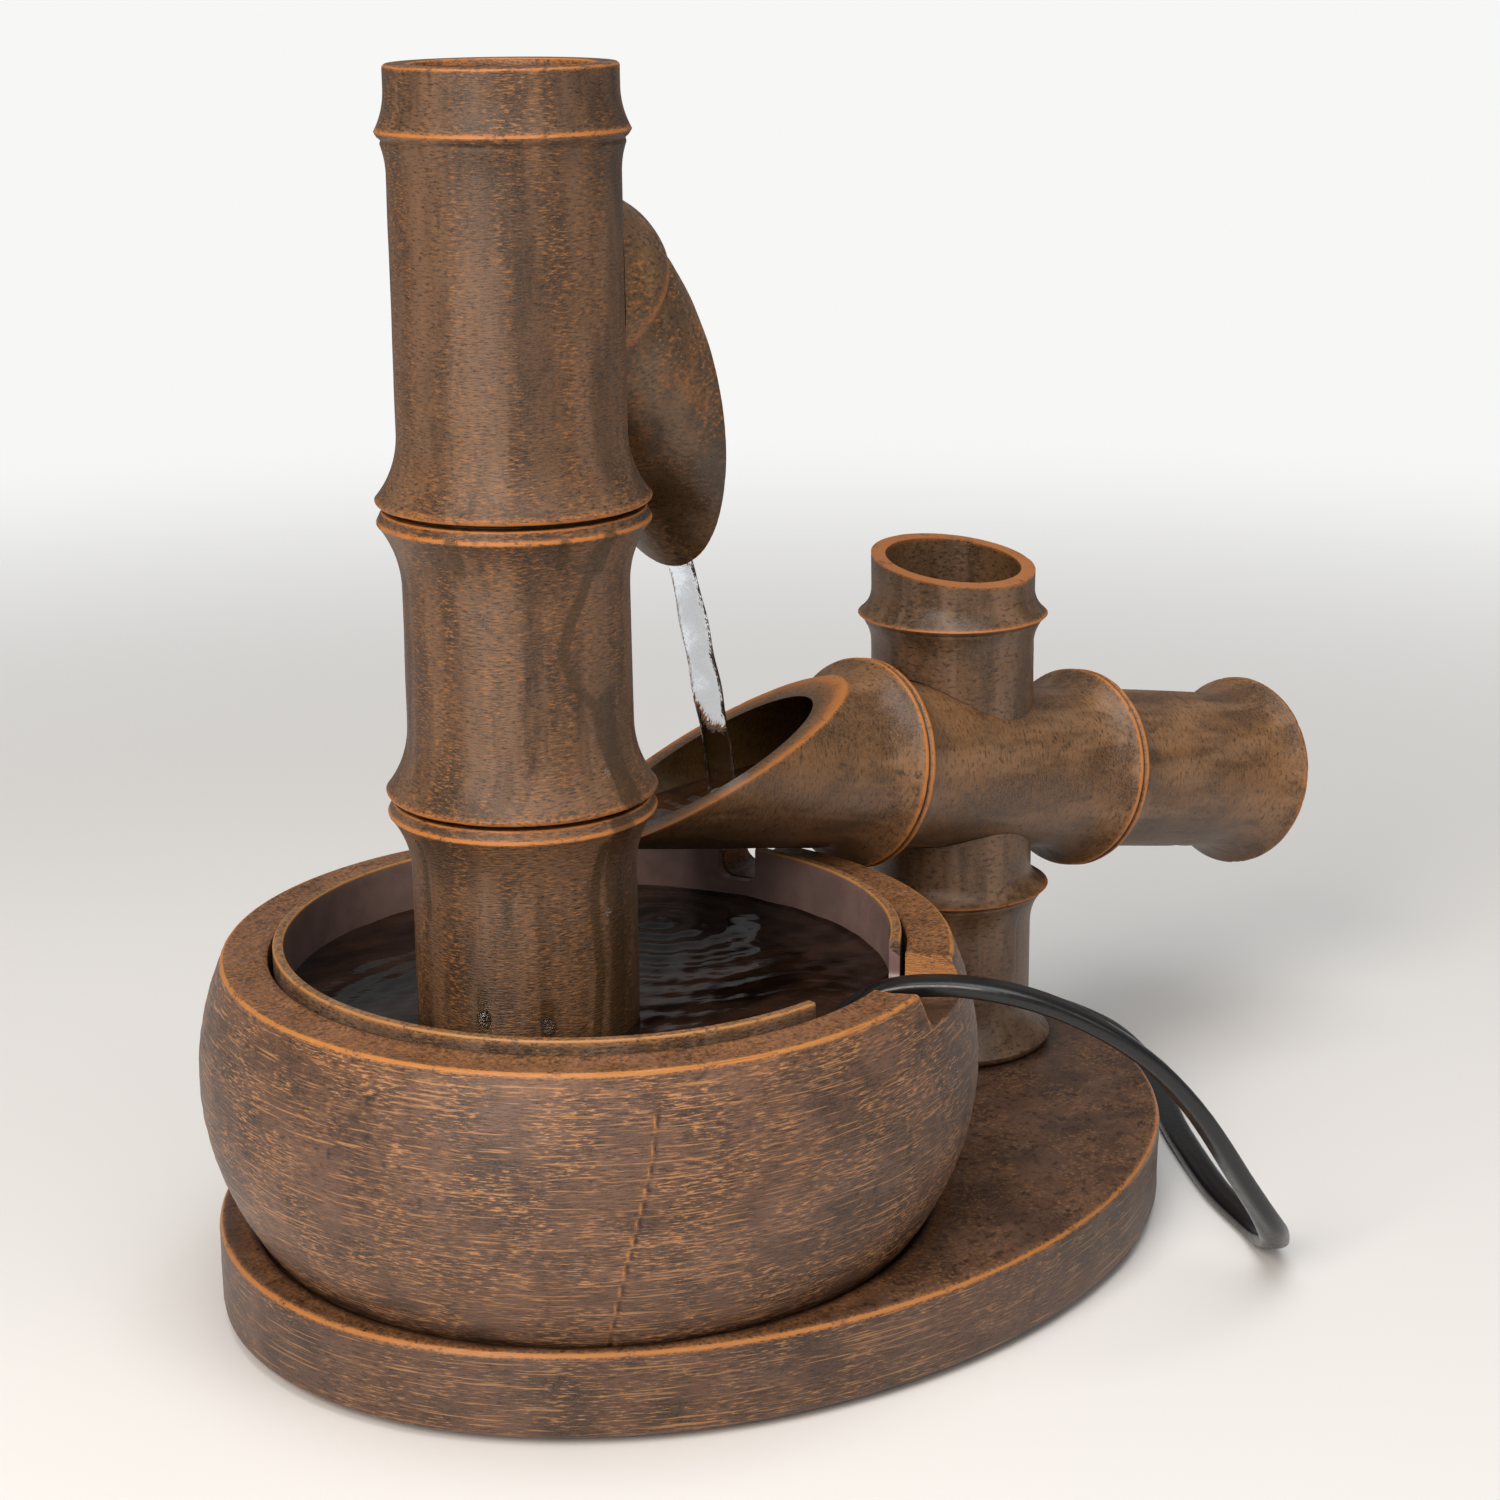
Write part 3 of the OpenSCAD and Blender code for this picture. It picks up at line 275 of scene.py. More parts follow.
# Post: the same casting with more stain and few dashes, so it stays the darkest of the bamboo pieces.
post_bamboo = cast_resin("stained_cast_resin_post", "#44301c", "#67492c", "#80634b", "#8f6336", "#b87034",
                         stroke=(1.6, 1.6, 0.8), flecks=0.45, fleck_low=0.57, relief=0.0001)
# Scoop: the same casting, mottled orange where hands and water have rubbed the stain.
scoop_bamboo = cast_resin("stained_cast_resin_scoop", "#43301a", "#6b4a29", "#7d6044", "#ad6c30", "#bd7028",
                          stroke=(1.3, 1.3, 0.7), flecks=0.9, fleck_low=0.54, streak=(9, 9, 30))
# Bowl: thick cast resin carved like a barrel. Level tool strokes catch the tan brushing, and the
# deep ones keep the stain, darkened further by painted shade.
barrel = cast_resin("stained_cast_resin_barrel", "#3b281b", "#604330", "#775848", "#bc8550", "#c9823c",
                    stroke=(2.3, 2.3, 0.32), flecks=1.0, fleck_low=0.53, streak=(20, 20, 14),
                    cluster=(11, 11, 9), lines=(13, 13, 0.42), mottle=0.45, relief=0.0003)
# Base plate: the bowl's resin in a flat casting, with the same strokes round its side and powdery
# brushing on top.
plate_resin = cast_resin("stained_cast_resin_plate", "#37251a", "#573b2a", "#6c5040", "#ab7c4a", "#c27c38",
                         stroke=(2.6, 2.6, 0.34), flecks=0.85, fleck_low=0.55, streak=(26, 14, 9),
                         cluster=(12, 12, 8), lines=(18, 18, 0.5), mottle=0.5, relief=0.00022)
# Liner: vacuum-formed brown-grey ABS sheet, satin, so the bowl's inner wall shows soft reflections of
# the water.
liner_plastic = moulded("moulded_abs_liner", "#7c6560", "#8a716a", 0.35, 0.8, 0.00003)
# Liner's lip: the same sheet with the bowl's stain brushed over it, to hide the joint at the rim.
liner_lip = cast_resin("stained_resin_liner_lip", "#463220", "#614833", "#776050", "#a67a4c", "#bf8446",
                       stroke=(1.6, 1.6, 0.5), flecks=0.6)
# Pool: still water, so dark over the liner that only its surface reflects.
pool_water = still_water("still_water_dark", "#0b0604", "#33221a")
# Trough: shallow water over the stained bore, which shows through as brown.
trough_still = still_water("still_water_brown", "#24140a", "#5d3a1c")
# Stream and drops: moving water without colour, seen by its bright edges and by what it bends behind it.
fall_water = clear_water("clear_water_falling")
# Pump's shells: injection-moulded ABS from a spark-eroded mould, black with a fine even grain and no gloss.
pump_abs = moulded("moulded_abs_pump", "#101011", "#1a1a1c", 0.45, 0.5)
# Flow slider: moulded acetal, off-white and waxy, so that it slides without grease.
slider_pom = moulded("moulded_acetal_slider", "#b9b4a8", "#cbc7bc", 0.5, 0.5)
# Impeller: moulded acetal of a whiter grade, with the sheen of a polished mould.
impeller_pom = moulded("moulded_acetal_impeller", "#d9d8d2", "#e6e5e0", 0.42, 0.5)
# Riser hose: extruded soft PVC, smooth from the die, milky blue-grey after some time in water.
hose_pvc = moulded("clear_pvc_hose", "#b9c2c2", "#ced6d6", 0.22, 0.7)
# Pad, seal ring, bushes and suction cups: pressed nitrile rubber, dull near-black with a coarse skin.
soft_black = moulded("moulded_nitrile_rubber", "#17171a", "#222226", 0.68, 0.4, 0.0001)
# Rotor's magnet: pressed and sintered ferrite, a dense dark grey ceramic ground on its outside.
ferrite = moulded("sintered_ferrite", "#26262a", "#34343a", 0.5, 0.3)
# Rotor's shaft: zirconia ground and lapped to size, so cream white with a narrow bright gleam.
zirconia = moulded("ground_zirconia_ceramic", "#e4e3df", "#efeeea", 0.15, 0.3)
# Mains cord: soft PVC drawn over its cores, near black, with a thin oily gloss along the top of the curve.
cord_pvc = moulded("extruded_pvc_cord", "#08080a", "#0f0f12", 0.34, 1.4, 0.00006, coat=0.15, size=30.0)
# Coil's strap: moulded nylon, charcoal and a little translucent, so softer in tone than the cord.
tie_nylon = moulded("moulded_nylon_tie", "#3c3c3f", "#4a4a4e", 0.5, 0.5)
# Plug: PVC moulded over the cord's end, of the cord's black with a finer and duller skin.
plug_pvc = moulded("moulded_pvc_plug", "#0d0d0f", "#161619", 0.4, 0.4)
# Pins: turned brass, nickel plated and tumbled, a warm bright grey with faint clouding.
nickel = moulded("nickel_plated_brass_pin", "#b9b6ae", "#cfccc4", 0.2, 0.3, 0.00001, metallic=1.0)
# Peg: a bought beech dowel, sanded and left without finish.
peg_beech = beech("turned_beech_peg")
# Winding: enamelled copper wire 0.5 mm thick, laid side by side: fine dark lines between bright turns.
copper = layered_metal("enamelled_copper_winding", "#6b3513", "#c8743a", pitch=2000.0, scale=0.159,
                       uneven=0.3, metallic=0.85, rough=0.3, relief=0.0001, strength=0.8)
# Core: 0.5 mm sheets of silicon steel, punched and stacked, so their edges lie as lines across it.
steel = layered_metal("stacked_sheet_steel_core", "#5d5d61", "#9a9aa0", pitch=1000.0, scale=0.318,
                      uneven=0.0, metallic=1.0, rough=0.42, relief=0.00005, strength=0.6)


# ---------------------------------------------------------------- surfaces

def lattice_noise(points, cell, seed):
    """Smooth noise from -1 to 1. Each corner of a lattice with that cell size has a pseudo-random value, and
    the eight round a point are mixed by the s-curve 3t^2 - 2t^3 of its place in the cell."""
    q = np.asarray(points) / np.asarray(cell, float)
    base = np.floor(q).astype(np.int64)
    f = q - base
    f = f * f * (3 - 2 * f)
    total = np.zeros(q.shape[:-1])
    for corner in range(8):
        step = np.array([corner & 1, corner >> 1 & 1, corner >> 2 & 1])
        i = base + step
        h = (i[..., 0] * 73856093) ^ (i[..., 1] * 19349663) ^ (i[..., 2] * 83492791) ^ (seed * 2654435761)
        h = (h ^ (h >> 13)) * 1274126177 & 0x7FFFFFFF
        h = (h ^ (h >> 15)) & 0xFFFF
        total += np.prod(np.where(step, f, 1 - f), axis=-1) * (h / 32767.5 - 1)
    return total


def finish_mesh(name, verts, faces, material, angle=46, open_sheet=False):
    """A mesh object at the origin from millimetre points and faces: merged, and turned to face outwards if it
    is closed. Edges sharper than the angle stay sharp."""
    data = bpy.data.meshes.new(name)
    faces = faces.tolist() if isinstance(faces, np.ndarray) else faces
    data.from_pydata((np.asarray(verts) * MM).tolist(), [], faces)
    work = bmesh.new()
    work.from_mesh(data)
    bmesh.ops.remove_doubles(work, verts=work.verts, dist=2e-6)
    bmesh.ops.dissolve_degenerate(work, dist=1e-6, edges=work.edges)
    bmesh.ops.delete(work, geom=[e for e in work.edges if not e.link_faces], context="EDGES")
    if not open_sheet:
        bmesh.ops.recalc_face_normals(work, faces=work.faces)
        if work.calc_volume(signed=True) < 0:
            bmesh.ops.reverse_faces(work, faces=work.faces)
    work.to_mesh(data)
    work.free()
    data.materials.append(material)
    data.shade_smooth()
    data.set_sharp_from_angle(angle=math.radians(angle))
    made = bpy.data.objects.new(name, data)
    bpy.context.scene.collection.objects.link(made)
    return made


def carve(piece, cutters, angle):
    """Takes the cutters out of a piece with Blender's exact boolean and keeps the result as plain mesh."""
    for tool in cutters:
        m = piece.modifiers.new("cut", "BOOLEAN")
        m.object = tool
        m.operation = "DIFFERENCE"
        m.solver = "EXACT"
    new = bpy.data.meshes.new_from_object(piece.evaluated_get(bpy.context.evaluated_depsgraph_get()))
    material, old = piece.data.materials[0], piece.data
    piece.modifiers.clear()
    piece.data = new
    bpy.data.meshes.remove(old)
    new.materials.clear()
    new.materials.append(material)
    work = bmesh.new()
    work.from_mesh(new)
    for f in work.faces:
        f.material_index = 0
        f.smooth = True
    bmesh.ops.remove_doubles(work, verts=work.verts, dist=2e-6)
    bmesh.ops.triangulate(work, faces=[f for f in work.faces if len(f.verts) > 4])
    work.to_mesh(new)
    work.free()
    new.set_sharp_from_angle(angle=math.radians(angle))
    for tool in cutters:
        bpy.data.objects.remove(tool)


def paint(piece, wear=None, wet=None, dirt_and_shade=None):
    """Writes the mask attribute: functions of the points in millimetres, each from 0 to 1."""
    data = piece.data
    p = np.zeros(len(data.vertices) * 3)
    data.vertices.foreach_get("co", p)
    p = p.reshape(-1, 3) / MM
    colour = np.zeros((len(p), 4), np.float32)
    colour[:, 3] = 1
    for i, part in enumerate((wear, wet, dirt_and_shade)):
        if part is not None:
            colour[:, i] = np.clip(part(p), 0, 1)
    layer = data.attributes.new("mask", "FLOAT_COLOR", "POINT")
    layer.data.foreach_set("color", colour.ravel())


def add_piece(name, shape, material, body, slot, *nodes, angle=46, cutters=(), masks=()):
    """One visible piece: its (points, faces) meshed, cut and masked, then put on its body. The slot is not
    used.
    The nodes are the CAD's own that it is shown in place of."""
    piece = finish_mesh(name, *shape, material, angle)
    if cutters:
        carve(piece, cutters, angle)
    if masks:
        paint(piece, *masks)
    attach(piece, body)
    if nodes:
        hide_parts(*nodes)
    return piece


def circle_angles(count):
    """Angles of count points round a circle."""
    return np.linspace(0, 2 * math.pi, count, endpoint=False)


def grid_faces(rows, cols, wrap_cols=True, wrap_rows=False):
    """Quads between neighbouring points of a grid stored row by row."""
    r = np.arange(rows if wrap_rows else rows - 1)
    c = np.arange(cols if wrap_cols else cols - 1)
    r, c = np.meshgrid(r, c, indexing="ij")
    r1, c1 = (r + 1) % rows, (c + 1) % cols
    return np.stack([r * cols + c, r1 * cols + c, r1 * cols + c1, r * cols + c1], -1).reshape(-1, 4)


def tube_faces(rows, cols):
    """Quads along a tube, and a many-sided face at each of its ends."""
    ends = [list(range(cols))[::-1], list(range((rows - 1) * cols, rows * cols))]
    return grid_faces(rows, cols).tolist() + ends


def merged(shapes):
    """Several (points, faces) shapes as one."""
    starts = np.cumsum([0] + [len(verts) for verts, faces in shapes])
    return np.vstack([verts for verts, faces in shapes]), np.vstack([s[1] + n for s, n in zip(shapes, starts)])


def finely(points, step):
    """A polyline's points with none further apart than step."""
    out = [np.array(points[0], float)]
    for a, b in zip(points[:-1], points[1:]):
        a, b = np.array(a, float), np.array(b, float)
        n = max(1, int(math.ceil(np.linalg.norm(b - a) / step)))
        out += [a + (b - a) * i / n for i in range(1, n + 1)]
    return np.array(out)


def spin(p, axis, angle):
    """Points turned by an angle about a coordinate axis: 0 for x, 1 for y, 2 for z."""
    i, j = (axis + 1) % 3, (axis + 2) % 3
    c, s = math.cos(angle), math.sin(angle)
    q = p.copy()
    q[..., i] = c * p[..., i] - s * p[..., j]
    q[..., j] = s * p[..., i] + c * p[..., j]
    return q


def moved(by):
    """A placing that only moves points."""
    return lambda p: p + by


def turned_by(degrees, z=0.0, base=0.0):
    """A placing that lifts points by z, turns them about z and moves them to the base."""
    return lambda p: spin(p + np.array([0, 0, z]), 2, math.radians(degrees)) + base


def turned(profile, count, place=moved(0), relief=None):
    """Surface of revolution: profile point (r, h) at angle a is (r cos a, r sin a, h), moved by relief and then
    put in place. A closed profile gives a closed solid."""
    r = np.repeat(profile[:, :1], count, 1)
    h = np.repeat(profile[:, 1:], count, 1)
    a = np.repeat(circle_angles(count)[None, :], len(profile), 0)
    if relief is not None:
        r = r + relief(r, h, a)
    local = np.stack([r * np.cos(a), r * np.sin(a), h], -1)
    return place(local.reshape(-1, 3)), grid_faces(len(profile), count, True, True)


def axis_distance(p, axis=(0, 0)):
    """Distance of points from an upright axis."""
    return np.hypot(p[..., 0] - axis[0], p[..., 1] - axis[1])


def bell(x, width):
    """1 where x is 0, falling off by the bell exp(-(x / width)^2)."""
    return np.exp(-(x / width) ** 2)


def near_rings(axis, *rings):
    """Wear on rings about an upright axis: a bell of the distance to each (radius, height, width)."""
    def wear(p):
        away = [np.hypot(axis_distance(p, axis) - r, p[:, 2] - h) / width for r, h, width in rings]
        return np.max([bell(d, 1) for d in away], axis=0)
    return wear


def run_out(x, run, rise):
    """Height above the body of a hollow arc, a distance x behind the ring: the arc's radius is
    (run^2 + rise^2) / (2 rise), and it meets the body after the run."""
    arc = (run * run + rise * rise) / (2 * rise)
    return arc - np.sqrt(np.maximum(arc * arc - (np.clip(x, 0, run) - run) ** 2, 0))


def ring_edge(h, free, body, top, edge, run, up):
    """Radius of a ring at height h: a round edge of height edge from its free face, then a hollow arc that runs
    out into the body. Up is 1 or -1, the way in which the ring lies from its free face."""
    u = (h - free) * up
    half = edge / 2
    round_part = top - half + np.sqrt(np.maximum(half * half - (u - half) ** 2, 0))
    hollow = body + run_out(u - half, run, top - body)
    r = np.where((u >= 0) & (u <= half), round_part, np.where((u > half) & (u < half + run), hollow, body))
    return np.where(u < 0, body, r)


def node_edge(h, middle, body, top, edge, run_up, run_down):
    """Two ring arcs back to back about the height middle."""
    up = ring_edge(h, middle - edge / 2, body, top, edge, run_up, 1)
    down = ring_edge(h, middle + edge / 2, body, top, edge, run_down, -1)
    return np.maximum(np.where(h >= middle, up, body), np.where(h <= middle, down, body))


def double_ridge(h, middle, body, top, run):
    """Node ring of two rounded ridges, 1 mm to each side of a groove, with hollow arcs down to the culm."""
    d = np.abs(h - middle)
    crest = top - 0.9 * bell(d, 0.42) - 0.4 * np.clip((d - 1.0) / 0.8, 0, 1) ** 2
    return np.where(d < 1.8, crest, body + run_out(d - 1.8, run, top - 0.4 - body))


def bamboo_skin(seed, strength=1.0):
    """Relief of cast bamboo, along the radius: slow waves along the culm, shallow dents and fine creases. It
    fades on the inner faces."""
    def relief(r, h, a):
        p = np.stack([r * np.cos(a), r * np.sin(a), h], -1)
        slow = 0.16 * lattice_noise(p, (16, 16, 40), seed)
        dents = 0.09 * lattice_noise(p, (5, 5, 9), seed + 1)
        crease = bell(lattice_noise(p, (3.2, 3.2, 22), seed + 2), 0.07)
        cut = -0.22 * crease * (lattice_noise(p, (9, 9, 12), seed + 3) > 0.25)
        outside = np.clip((r - 18.2) / 1.2, 0, 1)
        return strength * outside * (slow + dents + cut - 0.10)
    return relief


def culm_heights(low, high, fine):
    """Heights from low to high: 0.2 mm apart at the fine ones, 0.4 mm near them and 1 mm elsewhere."""
    h = [low]
    while h[-1] < high - 0.15:
        close = min(abs(h[-1] - f) for f in fine)
        h.append(min(h[-1] + (0.2 if close < 2.4 else 0.4 if close < 5 else 1.0), high))
    return np.array(h)


def block(name, low, high, place):
    """A cutter box between two corners."""
    corners = [[x, y, z] for x in (low[0], high[0]) for y in (low[1], high[1]) for z in (low[2], high[2])]
    faces = [(0, 1, 3, 2), (4, 6, 7, 5), (0, 4, 5, 1), (2, 3, 7, 6), (0, 2, 6, 4), (1, 5, 7, 3)]
    return finish_mesh(name, place(np.array(corners, float)), faces, bamboo)


def prism(name, outline, start, end, place):
    """A cutter with an outline in its (y, z) plane carried along x from start to end."""
    n = len(outline)
    ends = np.vstack([np.column_stack([np.full(n, x), outline]) for x in (start, end)])
    faces = [(i, (i + 1) % n, n + (i + 1) % n, n + i) for i in range(n)]
    return finish_mesh(name, place(ends), faces + [tuple(range(n))[::-1], tuple(range(n, 2 * n))], bamboo)


def rod(name, r, low, high, place, count=96):
    """A cutter cylinder about z from low to high."""
    profile = np.array([[0.0, low], [r, low], [r, high], [0.0, high]])
    return finish_mesh(name, *turned(profile, count, place), bamboo)


# ---------------------------------------------------------------- cord

CORD_W, CORD_T = 6.6, 4.0
TABLE_Z = 2.0       # the cord's middle where it lies on the table
cord_dir = spin(np.array([1.0, 0, 0]), 2, math.radians(-50))
relief_tip = COLUMN + [0, 0, 52.6] + 38 * cord_dir
route = [
    [9.5, -43.5, 56.5], [16.5, -51.5, 65.5], [24, -60.5, 75.4], [31, -70, 78], [37, -80, 78],
    [44, -89, 75.5], [53, -97, 69.5], [64, -103, 59.5], [75, -107, 46], [85.5, -109.5, 30.5],
    [96, -110.5, 16.5], [103, -107.5, 10], [108, -104, 6], [113, -98.5, 3]]
route += [[x, y, TABLE_Z] for x, y in (
    (118, -91.5), (127, -76), (139, -60), (152, -44), (165, -30), (177, -17), (187, -3), (194, 11), (197, 26),
    (197, 41), (195, 56), (191, 71), (185, 85))] + [[178, 99, 2.5]]
COIL_AT, COIL_R, COIL_PITCH, COIL_STEP, COIL_TURNS, COIL_Z = (135.0, 120.0), 40.0, 7.3, 4.7, 2.0, 3.0
COIL_END = 2 * COIL_TURNS + 0.25    # turns to the coil's last point, with 24 points to a turn


def coil_radius(u):
    """Radius of the coil after u turns: it winds in, and after half a turn more out again."""
    return np.where(u < COIL_TURNS + 0.25, COIL_R - u * COIL_PITCH,
                    COIL_R - (2 * COIL_TURNS + 0.5 - u) * COIL_PITCH)


def coil_points(u):
    """Place on the coil after u turns: in on the table, up while it turns back, and out again on top."""
    r = coil_radius(u)
    h = COIL_Z + COIL_STEP * np.clip((u - COIL_TURNS) / 0.5, 0, 1)
    return np.stack([COIL_AT[0] + r * np.cos(2 * math.pi * u), COIL_AT[1] + r * np.sin(2 * math.pi * u), h], -1)


coil_line = coil_points(np.arange(24 * COIL_END + 1) / 24)
join = coil_line[0] - [0, 7, 0]
PLUG_Z = 5.7
plug_drop = coil_line[-1][2] - PLUG_Z
plug_lead = [coil_line[-1] - [28 * s, 0, t * plug_drop]
             for s, t in ((0.35, 0.2), (0.55, 0.6), (0.76, 1), (1, 1))]
PLUG_X, PLUG_Y = plug_lead[-1][:2]


def through(points, per):
    """Catmull-Rom curve through the points: each span is the cubic whose ends have the slopes of the chords
    between their neighbours."""
    p = np.vstack([2 * points[0] - points[1], points, 2 * points[-1] - points[-2]])
    t = (np.arange(per) / per)[None, :, None]
    a, b, c, d = (p[i:len(p) - 3 + i][:, None, :] for i in range(4))
    spans = 0.5 * (2 * b + (c - a) * t + (2 * a - 5 * b + 4 * c - d) * t ** 2
                   + (3 * b - a - 3 * c + d) * t ** 3)
    return np.vstack([spans.reshape(-1, p.shape[1]), points[-1:]])


free_guide = np.vstack([relief_tip - 6 * cord_dir, relief_tip, route, join, join + [0, 8, 0]])
free_line = through(free_guide, 2)[2:-2]
cord_line = through(np.vstack([free_line[:-1], [join], coil_line, plug_lead]), 2)


def along_path(line, section, grow=1.0):
    """A closed tube: the section's (side, up) points carried along the line and multiplied by grow, one number
    for each point of the line. Side is level and square to the line, up is square to both."""
    t = np.gradient(line, axis=0)
    t /= np.linalg.norm(t, axis=1)[:, None]
    side = np.cross([0, 0, 1.0], t)
    side /= np.linalg.norm(side, axis=1)[:, None]
    up = np.cross(t, side)
    k = np.broadcast_to(grow, len(line))[:, None, None]
    rings = line[:, None] + k * (side[:, None] * section[None, :, :1] + up[:, None] * section[None, :, 1:])
    return rings.reshape(-1, 3), tube_faces(len(line), len(section))


def flat_section(width, thick, count):
    """Flat cord's section: superellipse with straight faces and round edges, and a faint groove between the
    two cores."""
    c, s = np.cos(circle_angles(count)), np.sin(circle_angles(count))
    x = width / 2 * np.sign(c) * np.abs(c) ** 0.8
    z = thick / 2 * np.sign(s) * np.abs(s) ** 0.6
    return np.stack([x, z * (1 - 0.07 * bell(x, 0.55))], -1)


cord = add_piece("power_cord_flex", along_path(cord_line, flat_section(CORD_W - 0.04, CORD_T - 0.04, 28)),
                 cord_pvc, "stand", "cord_pvc", "power_cord", "cord_coil", angle=50)


def relief_sleeve():
    """Strain relief: a cone from 5 mm to 3.8 mm radius with four grooves, along the cord's way out."""
    x = np.linspace(0, 22, 89)
    r = np.interp(x, [0, 22], [5.0, 3.8])
    for at in (4.8, 8.8, 12.8, 16.8):
        r = np.where(np.abs(x - at) < 0.8, np.minimum(r, 3.6), r)
    a = circle_angles(40)
    return along_path(relief_tip + (x[:, None] - 22) * cord_dir, np.column_stack([np.cos(a), np.sin(a)]), r)


add_piece("cord_strain_relief", relief_sleeve(), pump_abs, "stand", "pump_plastic", "cord_relief", angle=38)


def rounded_box(low, high, radius):
    """Outline of a box with round corners, in two directions."""
    out = []
    for cx, cy, start in ((high[0] - radius, high[1] - radius, 0), (low[0] + radius, high[1] - radius, 90),
                          (low[0] + radius, low[1] + radius, 180), (high[0] - radius, low[1] + radius, 270)):
        a = np.radians(start + np.linspace(0, 90, 6))
        out.append(np.column_stack([cx + radius * np.cos(a), cy + radius * np.sin(a)]))
    return np.vstack(out)


def tie_band():
    """The coil's strap: a square band with round corners that closes round both layers of cord, 5.8 mm wide.
    The coil passes through it at 0.625 of a turn."""
    at, play, thick = 0.625, 0.4, 0.7
    inner = float(coil_radius(COIL_TURNS + at)) - CORD_W / 2 - play
    outer = float(coil_radius(at)) + CORD_W / 2 + play
    high = COIL_Z + COIL_STEP + CORD_T / 2 + play
    out = rounded_box((inner - thick, 0.02), (outer + thick, high + thick), 1.1)
    hole = rounded_box((inner, thick), (outer, high), 0.5)
    away = out - out.mean(0)
    away /= np.linalg.norm(away, axis=1)[:, None]
    loops = [(out - 0.12 * away, -2.9), (out, -2.7), (out, 2.7), (out - 0.12 * away, 2.9)]
    loops += [(hole, y) for y in (2.9, 2.7, -2.7, -2.9)]
    grid = np.array([np.column_stack([loop[:, 0], np.full(len(loop), y), loop[:, 1]]) for loop, y in loops])
    points = spin(grid, 2, 2 * math.pi * at) + [*COIL_AT, 0]
    return points.reshape(-1, 3), grid_faces(len(loops), len(out), True, True)


tie = add_piece("coil_tie_strap", tie_band(), tie_nylon, "stand", "tie_plastic", "cord_tie", angle=50)


def plug_body_shell():
    """Plug body lofted along its length: round at the cord, with grip ribs on the neck, opening into a flat
    rounded head that narrows at the pin face."""
    s = np.linspace(0, 1, 69)
    width = np.interp(s, [0, 0.05, 0.42, 0.60, 0.93, 0.985, 1], [3.7, 3.9, 6.2, 13.3, 13.4, 12.6, 11.6])
    thick = np.interp(s, [0, 0.05, 0.42, 0.60, 0.93, 0.985, 1], [3.7, 3.9, 4.6, 5.6, 5.6, 5.0, 4.1])
    power = np.interp(s, [0, 0.3, 0.6, 1], [1.0, 1.0, 0.62, 0.62])[:, None]
    rib = np.where((s > 0.08) & (s < 0.40), np.minimum(0.28 * np.cos(2 * math.pi * s * 12), 0.1), 0)
    c, z = np.cos(circle_angles(48)), np.sin(circle_angles(48))
    c = np.sign(c) * np.abs(c) ** power * (width + rib)[:, None]
    z = np.sign(z) * np.abs(z) ** power * (thick + rib)[:, None]
    x = np.repeat(PLUG_X - 34 * s[:, None], 48, 1)
    return np.stack([x, PLUG_Y + c, PLUG_Z + z], -1).reshape(-1, 3), tube_faces(69, 48)


plug = add_piece("plug_shell", plug_body_shell(), plug_pvc, "stand", "pump_plastic", "plug_body", angle=40)


def plug_pins():
    """Two round pins: straight for 17 mm, then a half round end."""
    a = np.linspace(0, math.pi / 2, 10)
    profile = np.vstack([[[0, 0], [1.97, 0], [1.97, 6.0], [1.97, 16.9]],
                         np.column_stack([1.97 * np.cos(a), 16.95 + 1.95 * np.sin(a)])])
    return merged([turned(profile, 40, lambda p: np.column_stack(
        [PLUG_X - 34 - p[:, 2], PLUG_Y + side * 9.3 + p[:, 0], PLUG_Z + p[:, 1]])) for side in (-1, 1)])


pins = add_piece("plug_pin_pair", plug_pins(), nickel, "stand", "pin_metal", "plug_pins", angle=40)


# ---------------------------------------------------------------- base plate

PLATE = np.array([38.5, 4.0])
PLATE_A, PLATE_B = 118.5, 92.5
PLATE_LOW, PLATE_TOP, RECESS, RECESS_R = 1.5, 20.5, 18.5, 73.66


def plate_reach(p):
    """0 at the plate's middle, 1 on its outline."""
    return np.hypot((p[..., 0] - PLATE[0]) / PLATE_A, (p[..., 1] - PLATE[1]) / PLATE_B)


